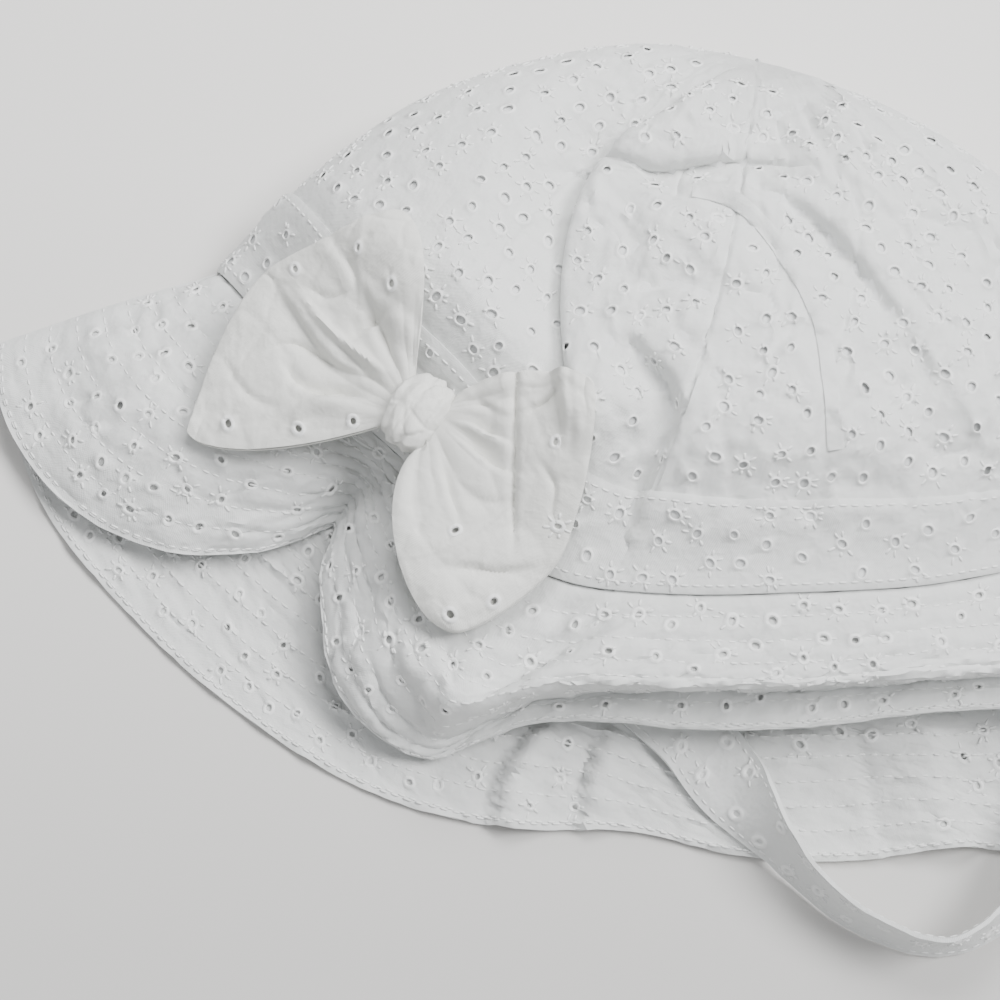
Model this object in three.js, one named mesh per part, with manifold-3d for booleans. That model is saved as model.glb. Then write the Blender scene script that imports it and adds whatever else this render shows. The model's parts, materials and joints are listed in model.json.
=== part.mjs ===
// A toddler's sun hat in white eyelet cotton, lying on its back on a table, soft and a little crumpled.
// Millimetres. +X runs to the right of the lying hat, +Y from the brim to the top of the crown and
// +Z up from the table.
// The origin is on the flat of the crown's back, where the hat rests on the table.
// A point on the cloth is named by its place round the head opening and its place up the crown or out
// over the brim.
// Round the opening, 0 is the left side fold, 1 the right side fold and 2 the left again:
// 0 to 1 is the front of the hat, which lies on top, and 1 to 2 is the back, which lies on the table.
import * as THREE from "three";
import { mergeVertices } from "three/addons/utils/BufferGeometryUtils.js";
import Module from "manifold-3d";

// Driving sizes
const CLOTH = 1.4; // two layers of cotton sewn together
const RIBBON = 1.2; // cloth of the bow
const SEAM_GAP = 0.6; // clearance between pieces that are sewn to each other
const CORNER_GAP = 2.6; // the same at the crown's two sharp side corners
const CORNER_SHARE = 0.06; // how far round the opening the wider gap reaches
const FOLD_GAP = 0.5; // clearance between the front and back halves at the side folds
const KNOT_GAP = 1; // clearance between the knot and the bow's loops
const BAND_SHARE = 0.11; // share of the way up the crown that the hat band covers, 21 mm
const BAND_CLOTH = 1.2;
const BAND_STAND = 0.35; // the band's clearance over the crown
const DEEPEST = 15; // depth of the deepest crease of the crown
const DOME_HEIGHT = 54; // the crown's height above the table
const TOP_HEIGHT = 12; // height of the button point where the crown panels meet
const LEFT_SLACK = 0.6; // how much the crown's rings ride up where the left side fold is slack
const STRAP_WIDTH = 19;
const EYELET_RADIUS = 1.4;
const EYELET_SIDES = 5;
const EYELET_REACH = 4; // length of the cut on each side of the cloth
const EYELET_EDGE = 0.25; // least cloth between an eyelet and the sides of the facet it is cut in
const LEAST_FACING = 0.45; // cloth that is steeper than this has no eyelet cut in it

// Mesh density
const LEFT_STEPS = 11; // from the left side fold to the crown's main crease
const RIGHT_STEPS = 16; // from the main crease to the right side fold
const BACK_STEPS = 11;
const BAND_RINGS = 4;
const CROWN_RINGS = [
  0.15, 0.2, 0.26, 0.32, 0.38, 0.44, 0.5, 0.54, 0.57, 0.61, 0.66, 0.72, 0.78, 0.84, 0.91, 0.965,
];
const BRIM_RINGS = [0, 0.14, 0.28, 0.42, 0.53, 0.61, 0.68, 0.76, 0.85, 0.93, 1];

// Where the crown is sewn to the brim: the front half from left to right, then the back half.
const FRONT_SEAM = [
  { x: -111, y: 49, z: 6 },
  { x: -109.5, y: 47.5, z: 9.5 },
  { x: -104, y: 41, z: 12.5 },
  { x: -89, y: 22, z: 16 },
  { x: -64, y: -2, z: 21 },
  { x: -45, y: -22, z: 25 },
  { x: -25, y: -34, z: 30 },
  { x: 0, y: -38, z: 34 },
  { x: 31, y: -38, z: 36 },
  { x: 60, y: -36, z: 34 },
  { x: 80, y: -32, z: 30 },
  { x: 98, y: -27, z: 21 },
  { x: 107, y: -23, z: 14 },
  { x: 110, y: -21.5, z: 9.5 },
  { x: 111, y: -21, z: 6 },
];
const BACK_SEAM = [
  { x: -111, y: 49, z: 6 },
  { x: -110.8, y: 46, z: 2.6 },
  { x: -109, y: 37, z: 2.1 },
  { x: -104, y: 17, z: 2.1 },
  { x: -82, y: -11, z: 2.1 },
  { x: -52, y: -31, z: 2.1 },
  { x: -20, y: -43, z: 2.1 },
  { x: 14, y: -48, z: 2.1 },
  { x: 54, y: -47, z: 2.1 },
  { x: 84, y: -40, z: 2.1 },
  { x: 103, y: -32, z: 2.1 },
  { x: 109.5, y: -24, z: 2.6 },
  { x: 111, y: -21, z: 6 },
];
// The crown's side folds, from the seam up to the button point.
const LEFT_FOLD = [
  { x: -111, y: 49, z: 6 },
  { x: -90, y: 69, z: 10 },
  { x: -63, y: 89, z: 12 },
  { x: -37, y: 99, z: 13 },
  { x: -6, y: 105, z: 13 },
  { x: 25, y: 103, z: TOP_HEIGHT },
];
const RIGHT_FOLD = [
  { x: 111, y: -21, z: 6 },
  { x: 115, y: 4, z: 9 },
  { x: 112, y: 30, z: 11 },
  { x: 102, y: 52, z: 12 },
  { x: 84, y: 70, z: 13 },
  { x: 61, y: 86, z: 13 },
  { x: 25, y: 103, z: TOP_HEIGHT },
];

// The place round the opening of the crown's main crease, at shares of the way up. The mesh follows it.
const MAIN_CREASE = [
  { up: 0, at: 0.44 },
  { up: 0.11, at: 0.41 },
  { up: 0.22, at: 0.37 },
  { up: 0.34, at: 0.32 },
  { up: 0.45, at: 0.29 },
  { up: 0.55, at: 0.285 },
  { up: 0.66, at: 0.315 },
  { up: 0.78, at: 0.345 },
  { up: 1, at: 0.35 },
];
// Creases pressed into the crown's front. left and right are how far the hollow spreads on each side of
// the line, seen along it, deep is how far the cloth is pressed down at each turn of the line, and lap is
// how far the lip on the left leans out over the hollow.
const CROWN_CREASES = [
  {
    name: "main",
    left: 3.6,
    right: 17,
    lap: 5,
    line: [
      { x: 19, y: 97, deep: 3 },
      { x: 9, y: 86, deep: 8 },
      { x: 0, y: 77, deep: 11 },
      { x: -8, y: 71, deep: 14 },
      { x: -13, y: 64, deep: 15 },
      { x: -17, y: 54, deep: 15 },
      { x: -20, y: 44, deep: 14 },
      { x: -22, y: 30, deep: 12 },
      { x: -22.5, y: 14, deep: 9 },
      { x: -22.5, y: -2, deep: 4 },
    ],
  },
  {
    name: "top_tuck",
    left: 3,
    right: 8,
    lap: 3,
    line: [
      { x: -11, y: 66, deep: 5 },
      { x: -1, y: 66, deep: 8 },
      { x: 10, y: 68, deep: 8 },
      { x: 21, y: 68, deep: 6 },
      { x: 37, y: 64, deep: 2 },
    ],
  },
  {
    name: "side_tuck",
    left: 4,
    right: 9,
    line: [
      { x: 20, y: 60, deep: 2 },
      { x: 32, y: 54, deep: 5 },
      { x: 42, y: 44, deep: 6 },
      { x: 48, y: 36, deep: 5 },
      { x: 57, y: 23, deep: 2 },
    ],
  },
  {
    name: "panel_edge",
    left: 2.5,
    right: 9,
    line: [
      { x: -2, y: 57, deep: 1 },
      { x: 10, y: 56, deep: 3 },
      { x: 19, y: 51, deep: 4 },
      { x: 27, y: 39, deep: 4 },
      { x: 34, y: 24, deep: 3 },
      { x: 36, y: 8, deep: 2 },
      { x: 37, y: -7, deep: 1 },
    ],
  },
  {
    name: "cross",
    left: 5,
    right: 3,
    line: [
      { x: -7, y: 33, deep: 3 },
      { x: 1, y: 34, deep: 5 },
      { x: 12, y: 29, deep: 1 },
    ],
  },
  {
    name: "pocket",
    left: 3,
    right: 11,
    line: [
      { x: -12, y: 22, deep: 3 },
      { x: -6, y: 16, deep: 6 },
      { x: 0, y: 8, deep: 8 },
      { x: 0, y: -1, deep: 8 },
      { x: -3, y: -8, deep: 7 },
      { x: -7, y: -16, deep: 5 },
      { x: -8, y: -22, deep: 3 },
    ],
  },
  {
    name: "crown_top",
    left: 7,
    right: 4,
    line: [
      { x: 20, y: 72, deep: 3 },
      { x: 30, y: 74, deep: 4 },
      { x: 40, y: 82, deep: 1 },
    ],
  },
  {
    name: "right_slack",
    left: 10,
    right: 9,
    line: [
      { x: 46, y: 19, deep: 2 },
      { x: 56, y: 9, deep: 5 },
      { x: 64, y: -4, deep: 4 },
    ],
  },
  {
    name: "right_hollow",
    left: 12,
    right: 12,
    line: [
      { x: 58, y: 62, deep: 2 },
      { x: 72, y: 40, deep: 5 },
      { x: 88, y: 14, deep: 3 },
    ],
  },
  {
    name: "left_slack",
    left: 8,
    right: 10,
    line: [
      { x: -14, y: 84, deep: 1 },
      { x: -30, y: 62, deep: 2.5 },
      { x: -40, y: 36, deep: 1 },
    ],
  },
];
// Pleats raised in the back of the brim.
const BRIM_PLEATS = [
  {
    name: "left_pleat",
    left: 3,
    right: 8,
    line: [
      { x: -27, y: -63, deep: -3 },
      { x: -35, y: -75, deep: -5 },
      { x: -38, y: -89, deep: -4 },
    ],
  },
  {
    name: "middle_pleat",
    left: 3,
    right: 7,
    line: [
      { x: -17, y: -68, deep: -2 },
      { x: -20, y: -76, deep: -3.5 },
      { x: -22, y: -84, deep: -1 },
    ],
  },
  {
    name: "right_pleat",
    left: 9,
    right: 3,
    line: [
      { x: 50, y: -64, deep: -2 },
      { x: 56, y: -78, deep: -3.5 },
      { x: 60, y: -92, deep: -3 },
    ],
  },
];

// The front of the brim, a row for each turn of its wave. at is the place round the opening, and x, y and z
// are the outer edge. The cloth rises or falls to the height mid at the share of the way out named midOut,
// and then to the height low at lowOut: where midOut is the greater, it rolls over and hides a gutter.
const BRIM_FRONT = [
  { at: 0.0, x: -166, y: 31, z: 3.4, mid: 6, midOut: 0.5, low: 4.8, lowOut: 0.75 },
  { at: 0.006, x: -166.5, y: 26, z: 5.6, mid: 9, midOut: 0.5, low: 7.4, lowOut: 0.75 },
  { at: 0.03, x: -163, y: 10, z: 7, mid: 13, midOut: 0.5, low: 10, lowOut: 0.75 },
  { at: 0.07, x: -150, y: -8, z: 7, mid: 18, midOut: 0.5, low: 14, lowOut: 0.75 },
  { at: 0.11, x: -131, y: -20, z: 8, mid: 21, midOut: 0.5, low: 16, lowOut: 0.75 },
  { at: 0.155, x: -110, y: -24, z: 9, mid: 21, midOut: 0.5, low: 16, lowOut: 0.75 },
  { at: 0.2, x: -92, y: -21, z: 7, mid: 17, midOut: 0.5, low: 12, lowOut: 0.75 },
  { at: 0.245, x: -81, y: -15, z: 4, mid: 11, midOut: 0.5, low: 7, lowOut: 0.75 },
  { at: 0.285, x: -84, y: -27, z: 12, mid: 18, midOut: 0.5, low: 16, lowOut: 0.75 },
  { at: 0.325, x: -83, y: -43, z: 14, mid: 23, midOut: 0.5, low: 20, lowOut: 0.75 },
  { at: 0.365, x: -78, y: -60, z: 12, mid: 27, midOut: 0.55, low: 22, lowOut: 0.8 },
  { at: 0.4, x: -68, y: -70, z: 9, mid: 29, midOut: 0.64, low: 15, lowOut: 0.87 },
  { at: 0.43, x: -57, y: -74, z: 6, mid: 31, midOut: 0.74, low: 8, lowOut: 0.9 },
  { at: 0.46, x: -46, y: -70, z: 9, mid: 32, midOut: 0.78, low: 9, lowOut: 0.84 },
  { at: 0.5, x: -33, y: -66, z: 13, mid: 34, midOut: 0.78, low: 12, lowOut: 0.77 },
  { at: 0.55, x: -16, y: -66, z: 16, mid: 35, midOut: 0.75, low: 14, lowOut: 0.7 },
  { at: 0.61, x: 8, y: -68, z: 17, mid: 35, midOut: 0.72, low: 15, lowOut: 0.66 },
  { at: 0.68, x: 32, y: -68, z: 18, mid: 35, midOut: 0.72, low: 15.5, lowOut: 0.65 },
  { at: 0.76, x: 56, y: -65, z: 18, mid: 34, midOut: 0.73, low: 15.5, lowOut: 0.67 },
  { at: 0.83, x: 81, y: -63, z: 17, mid: 31, midOut: 0.75, low: 15, lowOut: 0.72 },
  { at: 0.89, x: 105, y: -64, z: 14, mid: 25, midOut: 0.7, low: 14, lowOut: 0.76 },
  { at: 0.93, x: 128, y: -62, z: 11, mid: 19, midOut: 0.6, low: 14, lowOut: 0.76 },
  { at: 0.97, x: 151, y: -52, z: 7, mid: 13, midOut: 0.52, low: 10, lowOut: 0.75 },
  { at: 0.994, x: 162.5, y: -42, z: 5.6, mid: 9, midOut: 0.5, low: 7.4, lowOut: 0.75 },
];
// The back of the brim, which lies flat: the outer edge from the right to the left.
const FLAT_BRIM = { z: 0.95, mid: 1.8, midOut: 0.5, low: 1.3, lowOut: 0.75 };
const BRIM_BACK = [
  { at: 1.01, x: 163, y: -43, z: 1.2 },
  { at: 1.05, x: 149, y: -68 },
  { at: 1.14, x: 126, y: -88 },
  { at: 1.24, x: 100, y: -96 },
  { at: 1.35, x: 73, y: -95 },
  { at: 1.45, x: 45, y: -98 },
  { at: 1.53, x: 20, y: -97 },
  { at: 1.6, x: -8, y: -91 },
  { at: 1.68, x: -39, y: -90 },
  { at: 1.76, x: -70, y: -82 },
  { at: 1.83, x: -101, y: -64 },
  { at: 1.89, x: -130, y: -39 },
  { at: 1.95, x: -155, y: -8 },
  { at: 1.99, x: -165.5, y: 24, z: 1.2 },
];
const RIGHT_TIP = { at: 1.0, x: 164, y: -37, z: 3.4, mid: 6, midOut: 0.5, low: 4.8, lowOut: 0.75 };
const BRIM_SECTIONS = [...BRIM_FRONT, RIGHT_TIP, ...BRIM_BACK.map((row) => ({ ...FLAT_BRIM, ...row }))];
// Shares of the cloth's width at which mid and low lie.
const MID_PLACE = 0.53;
const LOW_PLACE = 0.76;

// The bow: a ribbon pinched by a knot, with a loop on each side. far is the folded end of a loop from its
// lower corner to its upper one, and the bulges are how far its two cut sides swell outwards.
const KNOT = { x: -59.5, y: 4.5, z: 39.5, length: 15, width: 19, height: 12, turn: -0.59, tilt: 0.26 };
const BOW_LOOPS = [
  {
    name: "bow_left_loop",
    side: -1,
    lowerBulge: 5,
    upperBulge: 6,
    puff: 5,
    far: [
      { x: -116, y: 4, z: 23.6 },
      { x: -111, y: 19, z: 24.3 },
      { x: -105, y: 32, z: 26 },
      { x: -97, y: 42, z: 30 },
      { x: -82, y: 48, z: 38 },
      { x: -72, y: 51.5, z: 44 },
      { x: -66, y: 52.5, z: 47 },
    ],
  },
  {
    name: "bow_right_loop",
    side: 1,
    lowerBulge: 9,
    upperBulge: 4,
    puff: 5,
    far: [
      { x: -52.5, y: -46, z: 33 },
      { x: -50, y: -47, z: 34 },
      { x: -44, y: -45, z: 34.5 },
      { x: -36, y: -40, z: 35.5 },
      { x: -26.5, y: -31, z: 38 },
      { x: -22, y: -20, z: 43 },
      { x: -19.5, y: -10, z: 48 },
      { x: -18, y: 2, z: 51 },
      { x: -19, y: 11.5, z: 51 },
      { x: -23, y: 13, z: 50 },
    ],
  },
];
const LOOP_MOUTH = 13; // width of a loop where the knot pinches it
const LOOP_LAYERS = 3.2; // distance between a loop's two layers
const LOOP_CLEARANCE = 1.6; // least height of a loop's lower layer above the hat
const LOOP_MARGIN = 2.5; // how far round each of its points that clearance is kept
const LOOP_GATHER = 1.3; // depth of the gathers that run out from the knot
const LOOP_ACROSS = 10;
const LOOP_ALONG = 7;

// The chin strap's middle line, from its end sewn inside the left of the hat to the right. roll is in
// degrees: a strap that stands on its edge is rolled 90.
const STRAP_ROUTE = [
  { x: -62, y: -9, z: 5.2, roll: 0 },
  { x: -42, y: -26, z: 4.8, roll: 0 },
  { x: -18, y: -46, z: 5, roll: 0 },
  { x: 6.5, y: -67, z: 4.8, roll: 0 },
  { x: 14.3, y: -77.5, z: 5.4, roll: 12 },
  { x: 22, y: -87.4, z: 9, roll: 40 },
  { x: 27.3, y: -94.2, z: 10.8, roll: 57 },
  { x: 35, y: -102.8, z: 10.4, roll: 67 },
  { x: 47, y: -112.5, z: 10.2, roll: 71 },
  { x: 66, y: -118.7, z: 10.2, roll: 75 },
  { x: 80, y: -112.7, z: 9.8, roll: 66 },
  { x: 90, y: -101, z: 9, roll: 50 },
  { x: 97, y: -88, z: 7.6, roll: 27 },
  { x: 101, y: -72, z: 4.6, roll: 5 },
  { x: 100, y: -52, z: 4.4, roll: 0 },
  { x: 88, y: -20, z: 5.2, roll: 0 },
];

const COTTON = { color: 0xe9eae6, roughness: 0.9, metalness: 0 };
const BOW_COTTON = { color: 0xebeae3, roughness: 0.88, metalness: 0 };

const vectors = (rows) => rows.map((row) => new THREE.Vector3(row.x, row.y, row.z));
const openCurve = (rows) => new THREE.CatmullRomCurve3(vectors(rows), false, "centripetal");
const lerp = (a, b, share) => a + (b - a) * share;
const clamp01 = (value) => Math.min(1, Math.max(0, value));
const smooth = (value) => clamp01(value) ** 2 * (3 - 2 * clamp01(value));

const frontSeam = openCurve(FRONT_SEAM);
const backSeam = openCurve(BACK_SEAM);
const leftFold = openCurve(LEFT_FOLD);
const rightFold = openCurve(RIGHT_FOLD);

const CREASE_STEPS = 32;
const fineLines = (creases) =>
  creases.map((crease) => {
    const turns = crease.line.map((row) => new THREE.Vector3(row.x, row.y, row.deep));
    const curve = new THREE.CatmullRomCurve3(turns, false, "centripetal");
    return { ...crease, points: curve.getPoints(CREASE_STEPS) };
  });
const crownCreases = fineLines(CROWN_CREASES);
const brimPleats = fineLines(BRIM_PLEATS);

// How a table of creases shifts the cloth at a point of the plan: down into the hollow, and sideways at
// the lip.
function creaseShift(creases, x, y) {
  const shift = new THREE.Vector3();
  for (const crease of creases) {
    let nearest = { distance: Infinity };
    for (let i = 1; i < crease.points.length; i++) {
      const from = crease.points[i - 1];
      const to = crease.points[i];
      const [dx, dy] = [to.x - from.x, to.y - from.y];
      const share = clamp01(((x - from.x) * dx + (y - from.y) * dy) / (dx * dx + dy * dy));
      const distance = Math.hypot(x - from.x - share * dx, y - from.y - share * dy);
      if (distance >= nearest.distance) continue;
      const side = Math.sign(dx * (y - from.y) - dy * (x - from.x)) || 1;
      nearest = { distance, side, dx, dy, deep: lerp(from.z, to.z, share) };
    }
    const { distance, side, dx, dy, deep } = nearest;
    shift.z -= deep * Math.exp(-((distance / (side > 0 ? crease.left : crease.right)) ** 2));
    if (!crease.lap) continue;
    const lean = (crease.lap * deep * Math.exp(-(((side * distance) / crease.left - 1) ** 2))) / DEEPEST;
    shift.x += (lean * dy) / Math.hypot(dx, dy);
    shift.y -= (lean * dx) / Math.hypot(dx, dy);
  }
  return shift;
}

// A value on a smooth curve through knots that overshoots none of them.
function throughKnots(places, values, place) {
  const rises = places.slice(1).map((end, i) => (values[i + 1] - values[i]) / (end - places[i]));
  const slopes = places.map((_, i) => {
    const [before, after] = [rises[Math.max(0, i - 1)], rises[Math.min(rises.length - 1, i)]];
    return before * after <= 0 ? 0 : (2 * before * after) / (before + after);
  });
  const i = Math.max(0, Math.min(rises.length, places.filter((start) => start <= place).length) - 1);
  const span = places[i + 1] - places[i];
  const t = clamp01((place - places[i]) / span);
  const start = (1 + 2 * t) * (1 - t) ** 2 * values[i] + t * (1 - t) ** 2 * span * slopes[i];
  return start + t * t * (3 - 2 * t) * values[i + 1] + t * t * (t - 1) * span * slopes[i + 1];
}

// The crown's outer surface at a place round the opening and a share of the way up to the button point.
function crownPoint(at, share) {
  const isFront = at <= 1;
  const across = isFront ? at : 2 - at;
  const up = share + LEFT_SLACK * (1 - across) ** 3 * share * (1 - share);
  const seam = (isFront ? frontSeam : backSeam).getPointAt(across);
  const left = leftFold.getPointAt(up);
  const right = rightFold.getPointAt(up);
  const point = left.clone().lerp(right, across);
  const seamSag = seam.clone().sub(frontSeam.getPointAt(0).lerp(rightFold.getPointAt(0), across));
  point.x += seamSag.x * (1 - up);
  point.y += seamSag.y * (1 - up);
  const side = lerp(left.z, right.z, across);
  const offMiddle = Math.abs(2 * across - 1);
  if (isFront) {
    const top = TOP_HEIGHT + (DOME_HEIGHT - TOP_HEIGHT) * (1 - up ** 3) ** 0.8;
    const arch = Math.sqrt(1 - offMiddle ** 3);
    point.z = lerp(seam.z, side + (top - side) * arch, smooth(up / 0.22));
    const share = smooth(arch * 1.4 - 0.2) * smooth((1 - up) * 5) * smooth(up / 0.12);
    point.addScaledVector(creaseShift(crownCreases, point.x, point.y), share);
  } else {
    const arch = Math.sqrt(1 - offMiddle ** 8);
    const flat = side * (1 - arch);
    point.z = lerp(seam.z, flat, smooth((up - BAND_SHARE * 1.05) / 0.1));
  }
  return point;
}

// The places round the opening of the mesh's stations, at a share of the way up. They lie closer together
// at the side folds and on both sides of the main crease.
function stations(up) {
  const crease = throughKnots(MAIN_CREASE.map((row) => row.up), MAIN_CREASE.map((row) => row.at), up);
  const spread = (from, to, steps) =>
    Array.from({ length: steps }, (_, i) => lerp(from, to, 0.5 - 0.5 * Math.cos((Math.PI * i) / steps)));
  return [...spread(0, crease, LEFT_STEPS), ...spread(crease, 1, RIGHT_STEPS), ...spread(1, 2, BACK_STEPS)];
}

// The brim at a place round the opening, on a smooth closed curve through the rows of its table.
function brimRow(at) {
  const count = BRIM_SECTIONS.length;
  const row = (i) => BRIM_SECTIONS[(i + count) % count];
  const next = BRIM_SECTIONS.findIndex((section) => section.at > at);
  const i = (next < 0 ? count : next) - 1;
  const end = i === count - 1 ? 2 : row(i + 1).at;
  const share = (at - row(i).at) / (end - row(i).at);
  const curve = openCurve([row(i - 1), row(i), row(i + 1), row(i + 2)]);
  const blend = (key) => lerp(row(i)[key], row(i + 1)[key], smooth(share));
  return {
    edge: curve.getPoint((1 + share) / 3),
    heights: [blend("mid"), blend("low")],
    reaches: [blend("midOut"), blend("lowOut")],
  };
}

// Unit normals of a grid of points, grid[ring][station]; the stations wrap round where the grid is closed.
function gridNormals(grid, closed) {
  const rings = grid.length;
  const count = grid[0].length;
  return grid.map((ring, j) =>
    ring.map((_, i) => {
      const before = closed ? (i + count - 1) % count : Math.max(0, i - 1);
      const after = closed ? (i + 1) % count : Math.min(count - 1, i + 1);
      const along = ring[after].clone().sub(ring[before]);
      const outward = grid[Math.min(rings - 1, j + 1)][i].clone().sub(grid[Math.max(0, j - 1)][i]);
      return along.cross(outward).normalize();
    }),
  );
}

// A closed wall between two offsets of a grid of points. With a tip, the last ring closes on that point.
function wall({ grid, normals, closed, from, to, tip }) {
  const rings = grid.length;
  const count = grid[0].length;
  const positions = [];
  const faces = [];
  for (const offset of [from, to])
    grid.forEach((ring, j) =>
      ring.forEach((point, i) => {
        positions.push(...point.clone().addScaledVector(normals[j][i], offset).toArray());
      }),
    );
  const index = (layer, j, i) => layer * rings * count + j * count + (i % count);
  const quad = (a, b, c, d) => faces.push(a, b, c, a, c, d);
  const spans = closed ? count : count - 1;
  for (let i = 0; i < spans; i++) {
    for (let j = 0; j < rings - 1; j++) {
      quad(index(0, j, i), index(0, j + 1, i), index(0, j + 1, i + 1), index(0, j, i + 1));
      quad(index(1, j, i), index(1, j, i + 1), index(1, j + 1, i + 1), index(1, j + 1, i));
    }
    quad(index(0, 0, i), index(0, 0, i + 1), index(1, 0, i + 1), index(1, 0, i));
    if (tip) continue;
    const last = rings - 1;
    quad(index(0, last, i), index(1, last, i), index(1, last, i + 1), index(0, last, i + 1));
  }
  if (!closed)
    for (let j = 0; j < rings - 1; j++) {
      quad(index(0, j, 0), index(1, j, 0), index(1, j + 1, 0), index(0, j + 1, 0));
      quad(index(0, j, spans), index(0, j + 1, spans), index(1, j + 1, spans), index(1, j, spans));
    }
  if (tip)
    [from, to].forEach((offset, layer) => {
      positions.push(...tip.point.clone().addScaledVector(tip.normal, offset).toArray());
      const apex = positions.length / 3 - 1;
      for (let i = 0; i < spans; i++) {
        const [a, b] = [index(layer, rings - 1, i), index(layer, rings - 1, i + 1)];
        faces.push(...(layer ? [a, b, apex] : [b, a, apex]));
      }
    });
  if (tip && !closed) {
    const apex = positions.length / 3 - 2;
    quad(index(0, rings - 1, 0), index(1, rings - 1, 0), apex + 1, apex);
    quad(index(0, rings - 1, spans), apex, apex + 1, index(1, rings - 1, spans));
  }
  return facingOut(positions, faces);
}

// A geometry from positions and faces, with the faces turned round where they enclose a negative volume.
function facingOut(positions, faces) {
  const corner = (k) => new THREE.Vector3().fromArray(positions, 3 * k);
  let volume = 0;
  for (let f = 0; f < faces.length; f += 3)
    volume += corner(faces[f]).dot(corner(faces[f + 1]).cross(corner(faces[f + 2])));
  if (volume < 0) faces.reverse();
  const geometry = new THREE.BufferGeometry();
  geometry.setAttribute("position", new THREE.Float32BufferAttribute(positions, 3));
  geometry.setIndex(faces);
  return geometry;
}

// The crown's rings: the first few lie under the band, at even steps, and the rest go on to the top.
const RING_SHARES = Array.from({ length: BAND_RINGS }, (_, j) => (BAND_SHARE * j) / (BAND_RINGS - 1));
RING_SHARES.push(...CROWN_RINGS);
const crownGrid = RING_SHARES.map((up) => stations(up).map((at) => crownPoint(at, up)));
const crownNormals = gridNormals(crownGrid, true);

// The stations of each closed ring from first to last.
const slice = (grid, first, last) =>
  grid.map((ring) => Array.from({ length: last - first + 1 }, (_, i) => ring[(first + i) % ring.length]));

// The same, with both ends drawn in a little from the side folds.
function half(grid, first, last) {
  return slice(grid, first, last).map((ring) => {
    const points = ring.map((point) => point.clone());
    for (const [end, next] of [[points[0], points[1]], [points.at(-1), points.at(-2)]])
      end.lerp(next, Math.min(0.5, FOLD_GAP / 2 / end.distanceTo(next)));
    return points;
  });
}

// One half of the crown, front or back. The two make one dome of six sewn panels, open at the head.
function crownGeometry(first, last, side) {
  const point = crownPoint(0.5, 1);
  point.z += (side * FOLD_GAP) / 2;
  const tip = { point, normal: new THREE.Vector3(0.2, 0.98, 0).normalize() };
  const grid = half(crownGrid, first, last);
  const normals = slice(crownNormals, first, last);
  return wall({ grid, normals, closed: false, from: 0, to: -CLOTH, tip });
}

// The hat band: a strip over the foot of the crown.
function bandGeometry() {
  const grid = crownGrid.slice(0, BAND_RINGS);
  return wall({ grid, normals: crownNormals, closed: true, from: BAND_STAND, to: BAND_STAND + BAND_CLOTH });
}

// Where the brim begins, just past the crown's foot, with its place round the opening. Between two stations
// of the crown there is one more on the left, where the brim waves most, and on the back.
function brimStarts() {
  const places = stations(0);
  const starts = places.map((at, i) => {
    const downCrown = crownGrid[0][i].clone().sub(crownGrid[1][i]).normalize();
    const gap = lerp(CORNER_GAP, SEAM_GAP, smooth(Math.abs(at - Math.round(at)) / CORNER_SHARE));
    const point = crownGrid[0][i].clone().addScaledVector(crownNormals[0][i], -CLOTH / 2);
    return { at, point: point.addScaledVector(downCrown, gap) };
  });
  return starts.flatMap((start, i) => {
    if (i >= LEFT_STEPS && i < LEFT_STEPS + RIGHT_STEPS) return [start];
    const next = starts[(i + 1) % starts.length];
    const end = i === starts.length - 1 ? 2 : next.at;
    return [start, { at: (start.at + end) / 2, point: start.point.clone().lerp(next.point, 0.5) }];
  });
}

// The brim: a wavy ring of two halves, sewn to the crown's foot and to each other at the side folds.
function brimGrid() {
  const grid = BRIM_RINGS.map(() => []);
  const places = [0, MID_PLACE, LOW_PLACE, 1];
  for (const { at, point: start } of brimStarts()) {
    const row = brimRow(at);
    BRIM_RINGS.forEach((share, j) => {
      const point = start.clone().lerp(row.edge, throughKnots(places, [0, ...row.reaches, 1], share));
      point.z = throughKnots(places, [start.z, ...row.heights, row.edge.z], share);
      if (at > 1) point.add(creaseShift(brimPleats, point.x, point.y));
      grid[j].push(point);
    });
  }
  return grid;
}

const brimRings = brimGrid();
const brimNormals = gridNormals(brimRings, true);
function brimGeometry(first, last) {
  const grid = half(brimRings, first, last);
  const normals = slice(brimNormals, first, last);
  return wall({ grid, normals, closed: false, from: -CLOTH / 2, to: CLOTH / 2 });
}

// The height of the hat's upper surface at a point of the plan.
const FRONT_STEPS = LEFT_STEPS + RIGHT_STEPS;
const bandGrid = crownGrid.slice(0, BAND_RINGS);
const upperSkins = [
  { grid: crownGrid, normals: crownNormals, offset: 0, steps: FRONT_STEPS },
  { grid: bandGrid, normals: crownNormals, offset: BAND_STAND + BAND_CLOTH, steps: FRONT_STEPS },
  { grid: brimRings, normals: brimNormals, offset: CLOTH / 2, steps: LEFT_STEPS + FRONT_STEPS },
];
const upperTriangles = upperSkins.flatMap(({ grid, normals, offset, steps }) => {
  const lift = (point, j, i) => point.clone().addScaledVector(normals[j][i], offset);
  const skin = grid.map((ring, j) => ring.map((point, i) => lift(point, j, i)));
  const triangles = [];
  for (let j = 0; j < skin.length - 1; j++)
    for (let i = 0; i < steps; i++) {
      triangles.push([skin[j][i], skin[j + 1][i], skin[j + 1][i + 1]]);
      triangles.push([skin[j][i], skin[j + 1][i + 1], skin[j][i + 1]]);
    }
  return triangles;
});
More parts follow.
